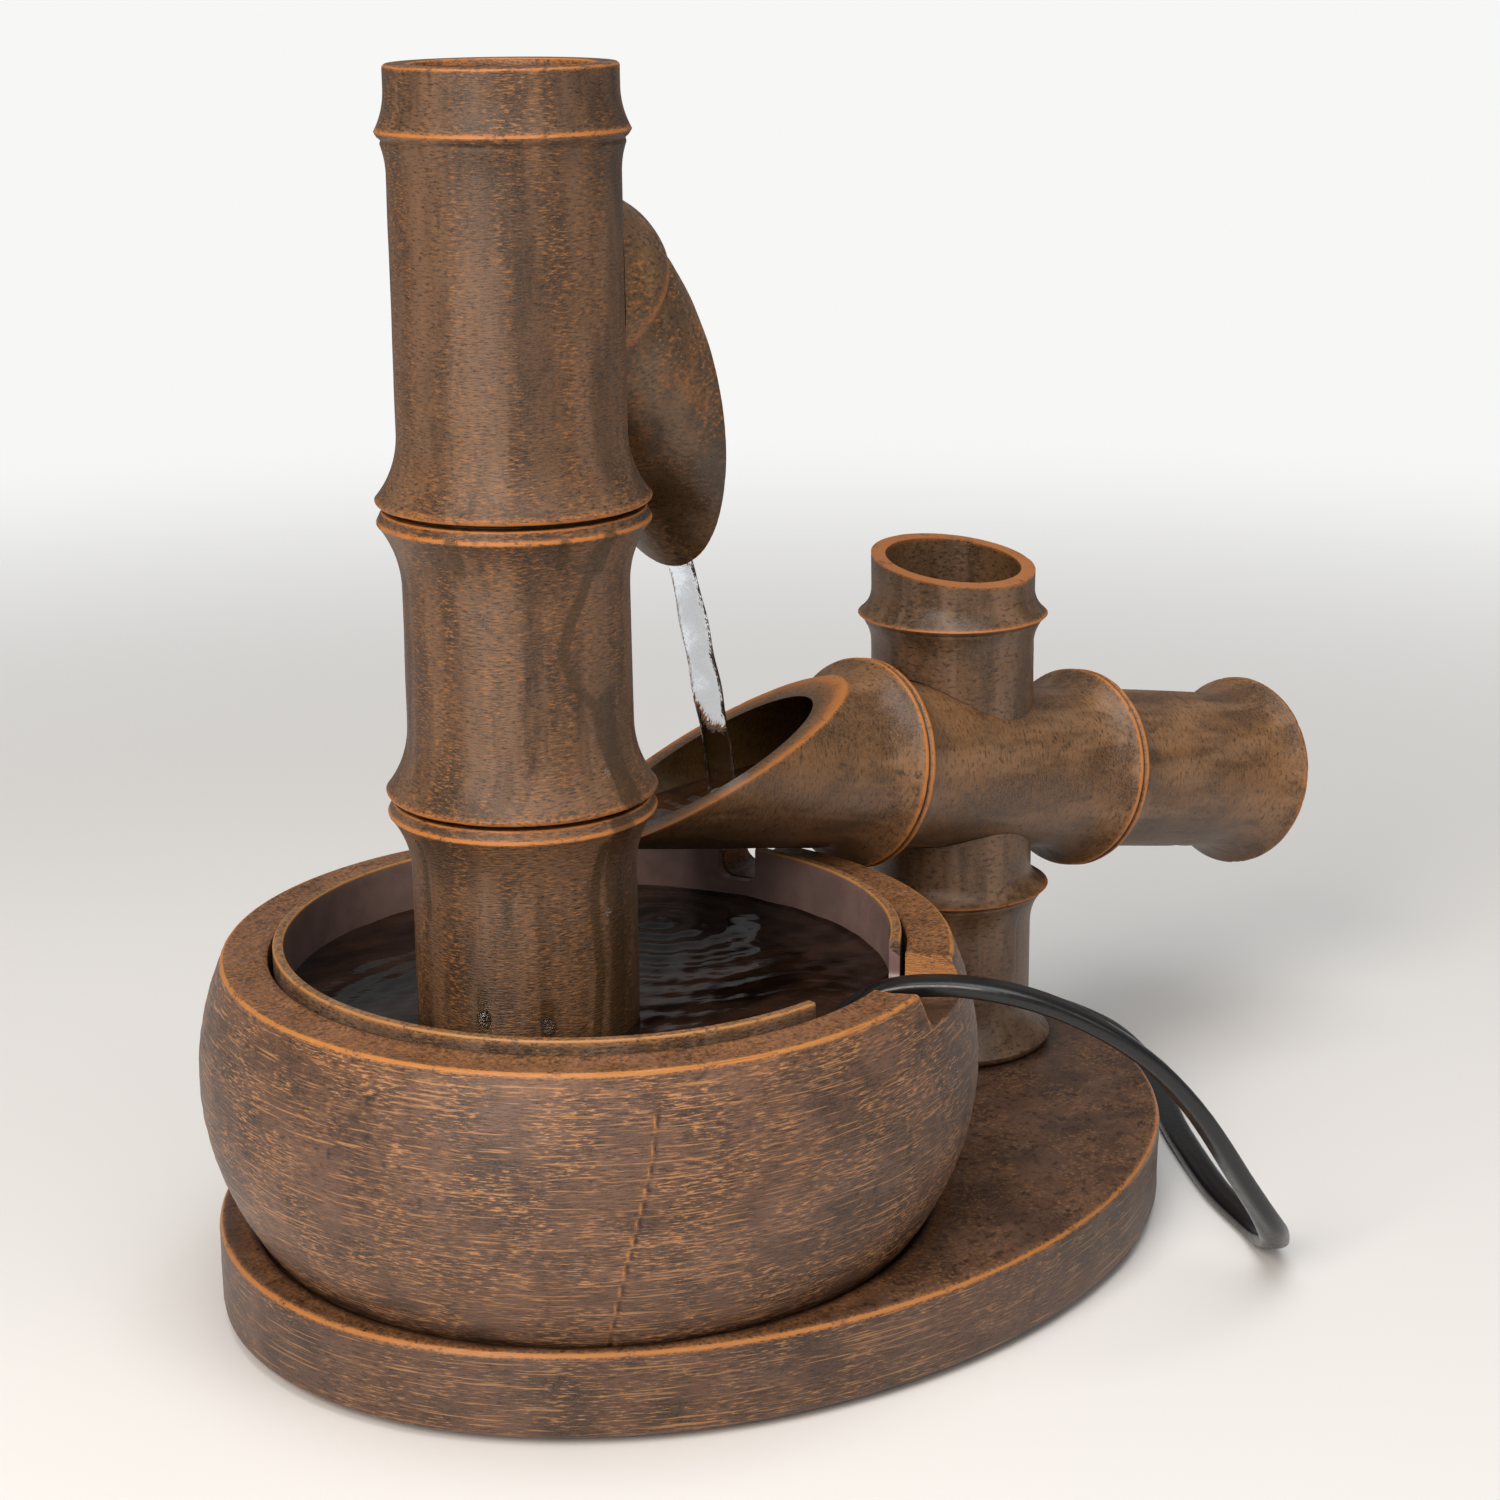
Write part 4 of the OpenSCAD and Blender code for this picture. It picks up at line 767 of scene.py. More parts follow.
def plate_shell():
    """Oval plate: rows run from the middle of the underside out, up the side over worn round edges, and in over
    the top to the recess under the bowl. Each row is an oval blended towards the recess's circle."""
    count, edge = 720, 2.0
    a = circle_angles(count)
    bend = edge * (1 - np.sin(np.radians(np.linspace(0, 90, 8))))
    rise = edge * (1 - np.cos(np.radians(np.linspace(0, 90, 8))))

    def row(xy, z):
        return np.column_stack([xy, np.full(count, z)])

    def oval(inset):
        x, y = PLATE[0] + (PLATE_A - inset) * np.cos(a), PLATE[1] + (PLATE_B - inset) * np.sin(a)
        return np.stack([x, y], -1)

    rows = [row(np.tile(PLATE, (count, 1)), PLATE_LOW)]
    rows += [row(oval(inset), PLATE_LOW) for inset in (40.0, 12.0, 4.0)]
    rows += [row(oval(inset), PLATE_LOW + up) for inset, up in zip(bend, rise)]
    rows += [row(oval(0.0), z) for z in np.arange(4.0, 18.4, 0.6)]
    rows += [row(oval(inset), PLATE_TOP - down) for inset, down in zip(rise, bend)]
    top = oval(edge)
    angle = np.arctan2(top[:, 1], top[:, 0])
    circle = RECESS_R * np.stack([np.cos(angle), np.sin(angle)], -1)
    rows += [row(top * (1 - t) + circle * t, PLATE_TOP) for t in np.linspace(0.02, 1, 60)]
    rows += [row(circle * 0.9985, 20.35)]
    rows += [row(circle * 0.9975, z) for z in (19.8, 19.2, RECESS)]
    rows += [row(circle * t, RECESS) for t in (0.8, 0.4, 0.0)]
    p = np.array(rows)

    grid = p.copy()
    wave = 0.22 * lattice_noise(p, (30, 30, 9), 5) + 0.10 * lattice_noise(p, (7, 7, 1.6), 6)
    out = p[..., :2] - PLATE
    out /= np.maximum(np.linalg.norm(out, axis=-1, keepdims=True), 1e-6)
    side = np.clip((plate_reach(p) - 0.97) / 0.03, 0, 1)
    grid[..., :2] -= out * (side * (0.24 + wave) * 0.7)[..., None]
    flat = (p[..., 2] > 20.2) & (plate_reach(p) < 0.99)
    slanting = p @ np.array([[0.8, 0.6, 0], [-0.6, 0.8, 0], [0, 0, 1]]).T
    scar = 0.09 * lattice_noise(slanting, (22, 3.2, 9), 7) + 0.05 * lattice_noise(p, (2.2, 2.2, 9), 8)
    grid[..., 2] -= flat * (0.10 + scar)
    return grid.reshape(-1, 3), grid_faces(len(rows), count)


def plate_wear(p):
    """Dry brushing on the plate's upper edge and along its recess, with a little on the lower edge."""
    inset, z = (1 - plate_reach(p)) * 100, p[:, 2]
    upper = bell(np.hypot(inset - 0.5, z - 19.8), 0.9)
    band = 0.45 * (z > 20.0) * bell(axis_distance(p) - 76.0, 3.0)
    strip = 0.25 * (z > 20.0) * bell(inset - 2.5, 2.5)
    lower = 0.35 * bell(z - 1.9, 0.8) * (inset < 3)
    return np.maximum.reduce([upper, band, strip, lower])


def plate_dark_rings(p):
    """Darker in the recess's gap and round the post's foot."""
    gap, foot = bell(axis_distance(p) - 73.6, 0.9), bell(axis_distance(p, POST) - 25, 1.6)
    return (p[:, 2] > 18.0) * np.maximum(gap, 0.7 * foot)


add_piece("base_plate_casting", plate_shell(), plate_resin, "stand", "bowl_resin", "base_plate", angle=50,
          cutters=[rod("peg_hole", 6.05, 8.5, 30, moved(POST))], masks=(plate_wear, None, plate_dark_rings))


def pad_shell():
    """Rubber pad: a thin oval 7 mm inside the plate's outline, with softly rounded edges."""
    a, long, short = circle_angles(180), 111.5, 85.5
    rows = []
    for inset, z in ((111.0, 0.0), (60, 0.0), (6, 0.0), (0.4, 0.0), (0.0, 0.3), (0.0, 1.2), (0.3, 1.5),
                     (60, 1.5), (111.0, 1.5)):
        k = 1 - inset / long
        rows.append(np.column_stack([PLATE[0] + long * k * np.cos(a), PLATE[1] + short * k * np.sin(a),
                                     np.full(180, z)]))
    return np.vstack(rows), grid_faces(len(rows), 180, True, True)


add_piece("base_pad_sheet", pad_shell(), soft_black, "stand", "soft_rubber", "base_pad", angle=50)


# ---------------------------------------------------------------- bowl and liner

# Rim slots: name, direction in degrees, width, height of the floor, radius of its corners.
SLOTS = (("cord_slot", -64.5, 24, 72.5, 2.5), ("drain_slot", 15.5, 10, 73.5, 3))
CRACK_TOP = 73.5
POOL_LEVEL = 69.5


def side_radius(z):
    """Bowl's outside: one arc of radius 58.5 about the height 54."""
    return 24.9 + np.sqrt(np.maximum(58.5 ** 2 - (z - 54) ** 2, 0))


def rim_slots():
    """Cutters of the cord notch and the drain notch: upright walls, flat floor, rounded lower corners."""
    made = []
    for name, turn, width, floor, corner in SLOTS:
        outline = [[width / 2, 16], [-width / 2, 16]]
        for side, start in ((-1, 180), (1, 270)):
            a = np.radians(np.linspace(start, start + 90, 7))
            outline += np.column_stack([side * (width / 2 - corner) + corner * np.cos(a),
                                        corner + corner * np.sin(a)]).tolist()
        made.append(prism(name, np.array(outline), 58.8, 96, turned_by(turn, floor)))
    return made


def crack_angle(h):
    """Angle in degrees of the bowl's crack at a height."""
    return np.interp(h, [23.6, 40.6, 53.5, 63.3, 73.3], [-129.9, -127.7, -125.5, -123.9, -122.8])


def off_crack(p):
    """Distance in millimetres along the bowl's outside from the crack, at 1.45 mm to the degree."""
    return (np.degrees(np.arctan2(p[:, 1], p[:, 0])) - crack_angle(p[:, 2])) * 1.45


def bowl_relief(r, h, a):
    """Relief of the carved-looking bowl: fine level strokes and slow waves on the outside, and one slanting
    crack on the front."""
    p = np.stack([r * np.cos(a), r * np.sin(a), h], -1)
    outside = np.clip((r - 69.5) / 1.5, 0, 1) * (h < 79.3)
    slow = 0.20 * lattice_noise(p, (34, 34, 26), 11)
    strokes = 0.11 * lattice_noise(p, (5.5, 5.5, 0.9), 12)
    ragged = 0.004 * lattice_noise(np.stack([h, h * 0, h * 0], -1), (2.2, 1, 1), 13)
    line = np.radians(crack_angle(h)) + ragged
    crack = -0.55 * bell((a - 2 * math.pi - line) * r, 0.35) * (h < CRACK_TOP)
    edge = -0.25 * np.clip(lattice_noise(p, (3.4, 3.4, 3.4), 15), 0, 1) * bell(h - 79, 0.9)
    return outside * (slow + strokes + crack + edge - 0.12)


def bowl_profile():
    """Bowl's section: foot, arched outside, round edge, slightly hollow rim, straight bore and flat floor."""
    foot, rim, bore, floor, edge = 18.5, 79.5, 68.0, 24.3, 1.2
    arc = np.arange(foot, rim - edge, 0.55)
    a = np.radians(np.linspace(0, 90, 7))
    brim = float(side_radius(rim - edge)) - edge
    round_edge = np.column_stack([brim + edge * np.cos(a), rim - edge + edge * np.sin(a)])
    top = finely([[brim, rim], [72.0, 79.15], [68.6, rim], [bore, 79.1]], 0.9)
    inner = finely([[bore, 79.1], [bore, floor]], 3.0)
    inside_floor = finely([[bore, floor], [0.0, floor]], 8.0)
    under = finely([[0.0, foot], [float(side_radius(foot)), foot]], 8.0)
    outside = np.column_stack([side_radius(arc), arc])
    return np.vstack([under[:-1], outside, round_edge, top[1:], inner[1:], inside_floor[1:]])


def slot_wear(p):
    """Wear on the slots' edges, where the rim's casting breaks the skin."""
    out = np.zeros(len(p))
    for name, turn, width, floor, corner in SLOTS:
        q = spin(p, 2, -math.radians(turn))
        wall = bell(np.abs(q[:, 1]) - width / 2, 0.7) * (q[:, 2] > floor - 0.5) * (q[:, 0] > 0)
        out = np.maximum(out, wall)
    return out


def bowl_wear(p):
    """Dry brushing on the rim, its outer edge, the foot, the slots and the crack's upper lip."""
    r, z = axis_distance(p), p[:, 2]
    edge = near_rings((0, 0), (77.6, 79.2, 0.95))(p)
    foot = 0.5 * near_rings((0, 0), (70.8, 19.6, 2.2))(p)
    top = 0.48 * (z > 78.7)
    lip = 0.9 * bell(off_crack(p) + 0.75, 0.4) * (z < CRACK_TOP) * (r > 70)
    spots = 0.35 * (r > 74) * bell(z - 76.5, 2.2)
    return np.maximum.reduce([edge, foot, top, spots, lip, 0.8 * slot_wear(p)])


def bowl_dirt(p):
    """Dark pits where chips of stain are lost, the crack's depth, and damp at the foot."""
    z = p[:, 2]
    pits = np.clip((lattice_noise(p, (1.8, 1.8, 1.5), 21) - 0.62) / 0.1, 0, 1)
    pits = 0.8 * pits * (lattice_noise(p, (19, 19, 15), 22) > 0.2)
    crack = 0.9 * bell(off_crack(p), 0.32) * (z < CRACK_TOP)
    foot = 0.8 * bell(z - 18.8, 1.4)
    damp = 0.6 * np.clip(lattice_noise(p, (13, 13, 5), 23) + 0.25, 0, 1) * bell(z - 20, 5.5)
    return np.maximum.reduce([pits, crack, foot, damp])


add_piece("bowl_casting", turned(bowl_profile(), 620, relief=bowl_relief), barrel, "stand", "bowl_resin",
          "bowl", cutters=rim_slots(), masks=(bowl_wear, None, bowl_dirt))


def liner_profile():
    """Liner's section: a dished floor, a leaning wall that stands straight above 67.5 mm, and a round lip."""
    a = np.radians(np.linspace(0, 90, 5))
    outer = finely([[63.8, 24.3], [66.8, 67.5], [66.8, 81.4]], 1.6)
    lip_out = np.column_stack([66.3 + 0.5 * np.cos(a), 81.4 + 0.5 * np.sin(a)])
    lip_in = np.column_stack([65.0 - 0.5 * np.sin(a), 81.4 + 0.5 * np.cos(a)])
    inner = finely([[64.5, 81.4], [64.5, 67.5], [61.5, 28.0], [60.6, 26.9], [59.4, 26.6]], 1.6)
    floor = finely([[59.4, 26.6], [0.0, 26.6]], 6.0)
    under = finely([[0.0, 24.3], [63.8, 24.3]], 6.0)
    return np.vstack([under[:-1], outer, lip_out[1:], lip_in, inner[1:], floor[1:]])


def lip_gap():
    """Cutter of the gap in the liner's lip at the cord: a wedge of 30 degrees from the bowl's axis."""
    a = np.radians(np.linspace(-90, -60, 5))
    wedge = np.vstack([[0, 0], 100 * np.stack([np.cos(a), np.sin(a)], -1)])
    return prism("lip_gap", wedge, 75.3, 90.0, lambda p: np.roll(p, -1, 1))


def lip_wear(p):
    """Brushing on both edges of the liner's lip, thinner between them."""
    return np.maximum(near_rings((0, 0), (64.6, 81.7, 0.6), (66.7, 81.7, 0.6))(p), 0.35 * (p[:, 2] > 81.5))


liner = add_piece("bowl_liner_moulding", turned(liner_profile(), 480), liner_plastic, "stand", "liner_plastic",
                  "bowl_liner", cutters=[lip_gap(), *rim_slots()],
                  masks=(lip_wear, None, lambda p: 0.25 * bell(p[:, 2] - POOL_LEVEL, 0.8)))
liner.data.materials.append(liner_lip)
middles = np.zeros(len(liner.data.polygons) * 3)
liner.data.polygons.foreach_get("center", middles)
middles = middles.reshape(-1, 3) / MM
on_lip = (middles[:, 2] > 79.0) & ((middles[:, 2] > 81.2) | (axis_distance(middles) > 65.5))
liner.data.polygons.foreach_set("material_index", on_lip.astype(np.int32))


# ---------------------------------------------------------------- column

# Heights of the foot, the seams, the crown's node and the top, and the radii of the culms: outside, outside of
# the upper one, bore, spigot and socket.
FOOT, SEAM_LOW, SEAM_HIGH, CROWN, TOP = 26.6, 118.6, 178.3, 250.5, 263.1
CULM, HEAD_CULM, BORE, SPIGOT, SOCKET = 23.0, 22.8, 17.5, 19.6, 19.52


def seam_skirt(h, seam):
    """The ring below a seam, from its free face down: a sloping band 2.2 mm high, a small rounded line, then a
    hollow arc that runs out into the culm."""
    d = seam - 1.0 - h
    step = np.clip((d - 2.2) / 1.0, 0, 1)
    line = 27.35 + 0.28 * np.sin(math.pi * step) - 0.25 * step
    hollow = CULM + run_out(d - 3.2, 12.8, 4.1)
    return np.where(d < 2.2, 26.3 + 1.05 * d / 2.2, np.where(d < 3.2, line, hollow))


def culm_piece(name, h, r, inside, at, seed, material, body, node, count=300, strength=1.0, **rest):
    """A standing culm: the outside's radii at its heights, closed by the points inside."""
    shape = turned(np.vstack([np.column_stack([r, h]), *inside]), count, moved(at), bamboo_skin(seed, strength))
    return add_piece(name, shape, material, body, "bamboo_resin", node, **rest)


def arch(name, width, height, turn):
    """Cutter of an arch in the column's foot: upright sides under a half round top."""
    a = np.radians(np.linspace(0, 180, 17))
    top = np.column_stack([width / 2 * np.cos(a), height - width / 2 + width / 2 * np.sin(a)])
    outline = np.vstack([[[-width / 2, -2.0], [width / 2, -2.0]], top])
    return prism(name, outline, 13.6, 25.6, turned_by(turn, 25.6, COLUMN))


def wet_runs(tracks):
    """Wet runs on the column: 1 within the width of a track of (angle in degrees, height) points."""
    arc = math.radians(CULM)

    def wet(p):
        a, h = np.degrees(np.arctan2(p[:, 1] - COLUMN[1], p[:, 0] - COLUMN[0])), p[:, 2]
        out = np.zeros(len(p))
        for track, width in tracks:
            for (a0, h0), (a1, h1) in zip(track[:-1], track[1:]):
                ax, ay = (a - a0) * arc, h - h0
                bx, by = (a1 - a0) * arc, h1 - h0
                t = np.clip((ax * bx + ay * by) / (bx * bx + by * by), 0, 1)
                away = np.hypot(ax - t * bx, ay - t * by)
                out = np.maximum(out, np.clip((width - away) / (0.35 * width), 0, 1))
        return out
    return wet


def culm_seam_shade_and_flecks(*seams):
    """Painted shade in the column's seams, and dark flecks in patches."""
    def dirt_and_shade(p):
        # Painted shade in the gaps of the seams.
        seam_shade = np.max([bell(p[:, 2] - s, 0.7) for s in seams], axis=0) * (axis_distance(p, COLUMN) < 26.3)
        flecks = (lattice_noise(p, (0.9, 0.9, 4.0), 41) > 0.66) * (lattice_noise(p, (12, 12, 14), 42) > 0.2)
        return np.maximum(seam_shade, 0.4 * flecks)
    return dirt_and_shade


lower_runs = wet_runs([
    ([(-84, 116), (-80, 104), (-76, 88), (-80, 70), (-80, 60)], 3.4),
    ([(-92, 112), (-94, 100), (-91, 84), (-96, 64)], 1.5), ([(174, 112), (170, 104), (171, 96)], 1.2),
    ([(-154.1, 82), (-154.1, 74)], 2.0), ([(-121.6, 80), (-121.6, 73)], 1.8)])
middle_runs = wet_runs([
    ([(-91.9, 172.6), (-95.6, 163.9), (-103.5, 158.4), (-108.8, 151.6), (-102.8, 144.3), (-91.1, 140.4),
      (-86.2, 132.9), (-81.4, 127.3), (-80, 120)], 1.5),
    ([(-88, 174), (-89, 168)], 2.2), ([(-157.4, 174.5), (-157.4, 168.2)], 1.7),
    ([(-110.2, 174.5), (-110.5, 169)], 1.2), ([(-84, 140), (-78, 130), (-76, 121)], 3.2),
    ([(-150, 160), (-146, 158)], 1.0)])


def lower_wet(p):
    """Runs on the lower section, and a damp band at the pool's level."""
    waterline = 0.8 * bell(p[:, 2] - 70.5, 1.6) * (axis_distance(p, COLUMN) > 22)
    return np.maximum(lower_runs(p), waterline)


h = culm_heights(FOOT, SEAM_LOW - 1.0, [SEAM_LOW - 2])
inside = [[[24.0, 117.6], [24.0, 118.45], [23.8, 118.5]],
          finely([[23.8, 118.5], [SPIGOT, 118.5], [SPIGOT, FOOT]], 2.0)[1:],
          finely([[SPIGOT, FOOT], [CULM, FOOT]], 1.0)[1:-1]]
culm_piece("column_lower_culm", h, np.maximum(seam_skirt(h, SEAM_LOW), CULM), inside, COLUMN, 31, bamboo,
           "column_foot", "column_lower",
           cutters=[arch("cord_arch", 13, 38, -50), *(arch(f"water_arch_{t}", 8, 12, t) for t in (0, 90, 180))],
           masks=(near_rings(COLUMN, (27.3, 115.3, 0.75), (26.4, 117.5, 0.5)), lower_wet, culm_seam_shade_and_flecks(118.2)))

h = culm_heights(SEAM_LOW, SEAM_HIGH - 1.0, [SEAM_LOW, SEAM_HIGH - 2])
r = np.maximum(ring_edge(h, SEAM_LOW, CULM, 27.6, 2.0, 13.0, 1),
               np.where(h > SEAM_HIGH - 18, seam_skirt(h, SEAM_HIGH), CULM))
inside = [[[24.0, 177.3], [24.0, 178.15], [23.8, 178.2]],
          finely([[23.8, 178.2], [SPIGOT, 178.2], [SPIGOT, 169.3], [BORE, 169.3], [BORE, 110.6],
                  [SOCKET, 110.6], [SOCKET, SEAM_LOW], [23.5, SEAM_LOW]], 2.0)[1:-1]]
culm_piece("column_middle_culm", h, r, inside, COLUMN, 51, bamboo, "column_mid", "column_middle",
           masks=(near_rings(COLUMN, (27.0, 119.2, 1.0), (27.3, 175.0, 0.75), (26.4, 177.1, 0.5)), middle_runs,
                  culm_seam_shade_and_flecks(118.4, 177.9)))

SLOPE, MOUTH = math.radians(136), np.array([46.5, 0.0, 191.5])
# Direction square to the mouth's leaning plane.
MOUTH_OUT = np.array([math.cos(math.radians(13)), 0, math.sin(math.radians(13))])
SCOOP_R, SCOOP_BORE, KNUCKLE = 19.7, 15.7, 20.3


def on_scoop(p):
    """Scoop's own points to the frame: z along its tube from the middle of the mouth, sloped about y, moved to
    the mouth, turned about the column."""
    return spin(spin(p, 1, SLOPE) + MOUTH, 2, SPOUT_AZ) + COLUMN


def scoop_local(p):
    """Frame points in the scoop's own axes."""
    return spin(spin(p - COLUMN, 2, -SPOUT_AZ) - MOUTH, 1, -SLOPE)


h = culm_heights(SEAM_HIGH, TOP - 0.6, [SEAM_HIGH, CROWN, TOP])
r = np.maximum(ring_edge(h, SEAM_HIGH, HEAD_CULM, 27.6, 2.0, 13.0, 1),
               node_edge(h, CROWN, HEAD_CULM, 24.9, 3.4, 8.0, 8.0))
inside = [[[22.7, 262.8], [22.3, TOP]],
          finely([[22.3, TOP], [17.8, TOP], [BORE, 262.8], [BORE, 203.0], [5.4, 203.0], [5.4, 200.0],
                  [BORE, 200.0], [BORE, 170.3], [SOCKET, 170.3], [SOCKET, SEAM_HIGH],
                  [23.5, SEAM_HIGH]], 2.0)[1:-1]]
culm_piece("column_upper_culm", h, r - 0.5 * bell(h - 248.9, 0.45), inside, COLUMN, 61, bamboo, "column_head",
           "column_upper", cutters=[rod("scoop_bore", SCOOP_BORE, -66.9, 20, on_scoop)],
           masks=(near_rings(COLUMN, (27.0, 178.9, 1.0), (24.9, 250.9, 0.85), (24.3, 247.6, 0.55),
                             (22.6, 262.9, 0.6), (17.8, 262.9, 0.6)), None, culm_seam_shade_and_flecks(178.1)))


def scoop_shell():
    """Scoop: a tube that grows from a round knuckle, cut off by the mouth's leaning plane. At each angle its
    line runs from the column's skin to that plane, and back through the bore to the column."""
    steps, a = 130, circle_angles(220)
    arc = np.linspace(-math.pi / 2 + 0.05, math.acos(-4.9 / KNUCKLE) - math.pi / 2 + 0.49, 60)
    knuckle = np.column_stack([KNUCKLE * np.cos(arc), -37 + KNUCKLE * np.sin(arc)])
    tube = np.column_stack([np.full(70, SCOOP_R), np.linspace(-31.6, 36, 70)])
    outer = np.vstack([knuckle[knuckle[:, 1] < -32.1], tube])
    outer[:, 0] -= 0.55 * bell(outer[:, 1] + 31.4, 1.1)
    inner = np.column_stack([np.full(120, SCOOP_BORE), np.linspace(-66, 36, 120)])

    def wall(profile):
        """The profile carried round, cut 22.9 mm from the column's axis and 0.5 mm before the mouth's plane."""
        s = np.linspace(0, 1, 900)
        r, t = (np.interp(s, np.linspace(0, 1, len(profile)), profile[:, i])[:, None] for i in (0, 1))
        q = spin(np.stack([r * np.cos(a), r * np.sin(a), t + 0 * a], -1), 1, SLOPE) + MOUTH
        buried = ~((axis_distance(q) > 22.9) & (q[..., 0] > 0))
        first = len(s) - np.argmax(buried[::-1], axis=0)
        last = np.argmax((q - MOUTH) @ MOUTH_OUT > -0.5, axis=0)
        lo, hi = s[first], s[np.maximum(last, first + 2)]
        k = lo + (hi - lo) * np.linspace(0, 1, steps)[:, None]
        r, t = np.interp(k, s, r[:, 0]), np.interp(k, s, t[:, 0])
        return np.stack([r * np.cos(a), r * np.sin(a), t], -1)

    skin, bore = wall(outer), wall(inner)[::-1]
    rough = 0.16 * lattice_noise(skin, (10, 10, 16), 71) + 0.10 * lattice_noise(skin, (3.5, 3.5, 5), 72)
    skin[..., :2] *= (1 + rough / SCOOP_R)[..., None]
    rim = [skin[-1] * (1 - t) + bore[0] * t + np.array([0, 0, out])
           for t, out in ((0.07, 0.4), (0.5, 0.5), (0.93, 0.4))]
    grid = np.concatenate([skin, np.array(rim), bore])
    return on_scoop(grid).reshape(-1, 3), grid_faces(len(grid), len(a), True, True)


def scoop_wear(p):
    """Brushing on the scoop's node and round its mouth, and rubbed patches on its flank."""
    q = scoop_local(p)
    outside = axis_distance(q) > 17
    node = 0.8 * bell(q[:, 2] + 33.5, 2.0) * outside
    rubbed = np.clip((lattice_noise(p, (4, 4, 4), 73) + 0.3) / 0.6, 0, 1)
    flank = 0.5 * bell(q[:, 2] + 14, 15) * outside * rubbed
    rim = 0.55 * bell((spin(p - COLUMN, 2, -SPOUT_AZ) - MOUTH) @ MOUTH_OUT + 0.3, 0.7)
    return np.maximum.reduce([node, flank, rim])


def scoop_wet(p):
    """The bore, and the lip that the water runs over."""
    return 0.9 * (axis_distance(scoop_local(p)) < 16.4) + 0.8 * bell(p[:, 2] - 176, 9)


add_piece("spout_scoop_culm", scoop_shell(), scoop_bamboo, "column_head", "bamboo_resin", "spout_scoop",
          masks=(scoop_wear, scoop_wet, lambda p: 0.5 * bell(p[:, 2] - 172, 7)))


# ---------------------------------------------------------------- post and cross pipe

PIPE_R, PIPE_BORE, POST_R = 20, 15.0, 19.7
# Places along the pipe's axis of its tip, rings and closed end, and the outer radius of rings and end.
PIPE_TIP, LOW_RING, HIGH_RING, PIPE_END, RING_R = -137.0, 42, -32, 107.0, 24.6
CUT_AT, CUT_FALL, CUT_ROLL = np.array([-77.0, 0, 0]), math.radians(-29.5), math.radians(-8)
# Heights on the post: lower node, top of the lower culm, foot of the upper one, upper node and slanting top.
POST_LOW_NODE, LOWER_TOP, UPPER_FOOT, POST_HIGH_NODE, POST_TOP = 61, 92.15, 92.25, 128.5, 144.0
POST_FALL = math.radians(8.5)


def on_pipe(p):
    """Pipe's own points to the frame: x along its axis towards the closed end."""
    return spin(spin(p, 1, FALL), 2, PIPE_AZ) + PIPE_AT


def pipe_local(p):
    """Frame points in the pipe's own axes."""
    return spin(spin(p - PIPE_AT, 2, -PIPE_AZ), 1, -FALL)


def upright_to_x(p):
    """Turns a piece from about z to about the pipe's x."""
    return on_pipe(np.stack([p[..., 2], p[..., 1], -p[..., 0]], -1))


def on_cut(p):
    """A box above z = 0, turned to the slanting cut that opens the trough."""
    return on_pipe(spin(spin(p, 1, CUT_FALL) + CUT_AT, 0, CUT_ROLL))


def above_cut(p):
    """Distance of frame points above the slanting cut."""
    out = np.array([math.sin(CUT_FALL), -math.sin(CUT_ROLL) * math.cos(CUT_FALL),
                    math.cos(CUT_ROLL) * math.cos(CUT_FALL)])
    return (pipe_local(p) - CUT_AT) @ out


def pipe_shell():
    """Pipe with two ringed nodes and a flared end, closed there by a disc 3 mm inside. Its bore is open from
    the trough's tip to a second wall at the upper ring."""
    x = culm_heights(PIPE_TIP, PIPE_END - 0.3, [HIGH_RING, LOW_RING, 103])
    r = np.maximum.reduce([double_ridge(x, HIGH_RING, PIPE_R, RING_R, 9),
                           double_ridge(x, LOW_RING, PIPE_R, RING_R, 9),
                           ring_edge(x, PIPE_END, PIPE_R, RING_R, 4.0, 14, -1)])
    end = finely([[22.0, PIPE_END], [15.3, PIPE_END], [PIPE_BORE, 106.7], [PIPE_BORE, 104.2],
                  [14.0, 104.0], [0.0, 104.0]], 1.5)
    bore = finely([[0.0, -24.0], [PIPE_BORE, -24.0], [PIPE_BORE, PIPE_TIP]], 1.5)
    return turned(np.vstack([np.column_stack([r, x]), end, bore]), 280, upright_to_x, bamboo_skin(81, 0.8))


def pipe_wear(p):
    """Brushing on the rings' ridges, the flared end and the trough's cut face."""
    q = pipe_local(p)
    r = np.hypot(q[:, 1], q[:, 2])
    rings = np.max([bell(np.hypot(q[:, 0] - at, r - 24.4), 0.9) for at in (-33.1, -30.9, 40.9, 43.1)], axis=0)
    mouth = 0.9 * bell(np.hypot(q[:, 0] - 106, r - 24.2), 1.6)
    cut = above_cut(p)
    face = 0.32 * (cut > -0.4) + 0.9 * bell(cut + 0.2, 0.5) * bell(r - 20, 1.2)
    return np.maximum.reduce([rings, mouth, face])


def pipe_wet(p):
    """The trough's bore."""
    q = pipe_local(p)
    return 0.8 * (np.hypot(q[:, 1], q[:, 2]) < 16.2) * (q[:, 0] < 0)


def pipe_dirt_and_shade(p):
    """Stain in the rings' grooves, painted shade in the bore and towards the underside, and long dark flecks.
    """
    q = pipe_local(p)
    r = np.hypot(q[:, 1], q[:, 2])
    seams = np.max([bell(q[:, 0] - at, 0.35) * (r > 22) for at in (HIGH_RING, LOW_RING)], axis=0)
    flecks = lattice_noise(p, (5, 1.4, 1.4), 91) > 0.72
    # Painted shade: darker in the bore, and darker towards the underside.
    inside = 0.45 * (r < 15.4) * (q[:, 0] < -10)
    under = 0.5 * np.clip((-q[:, 2] - 4) / 12, 0, 1)
    return np.maximum.reduce([0.9 * seams, 0.5 * flecks, inside, under])


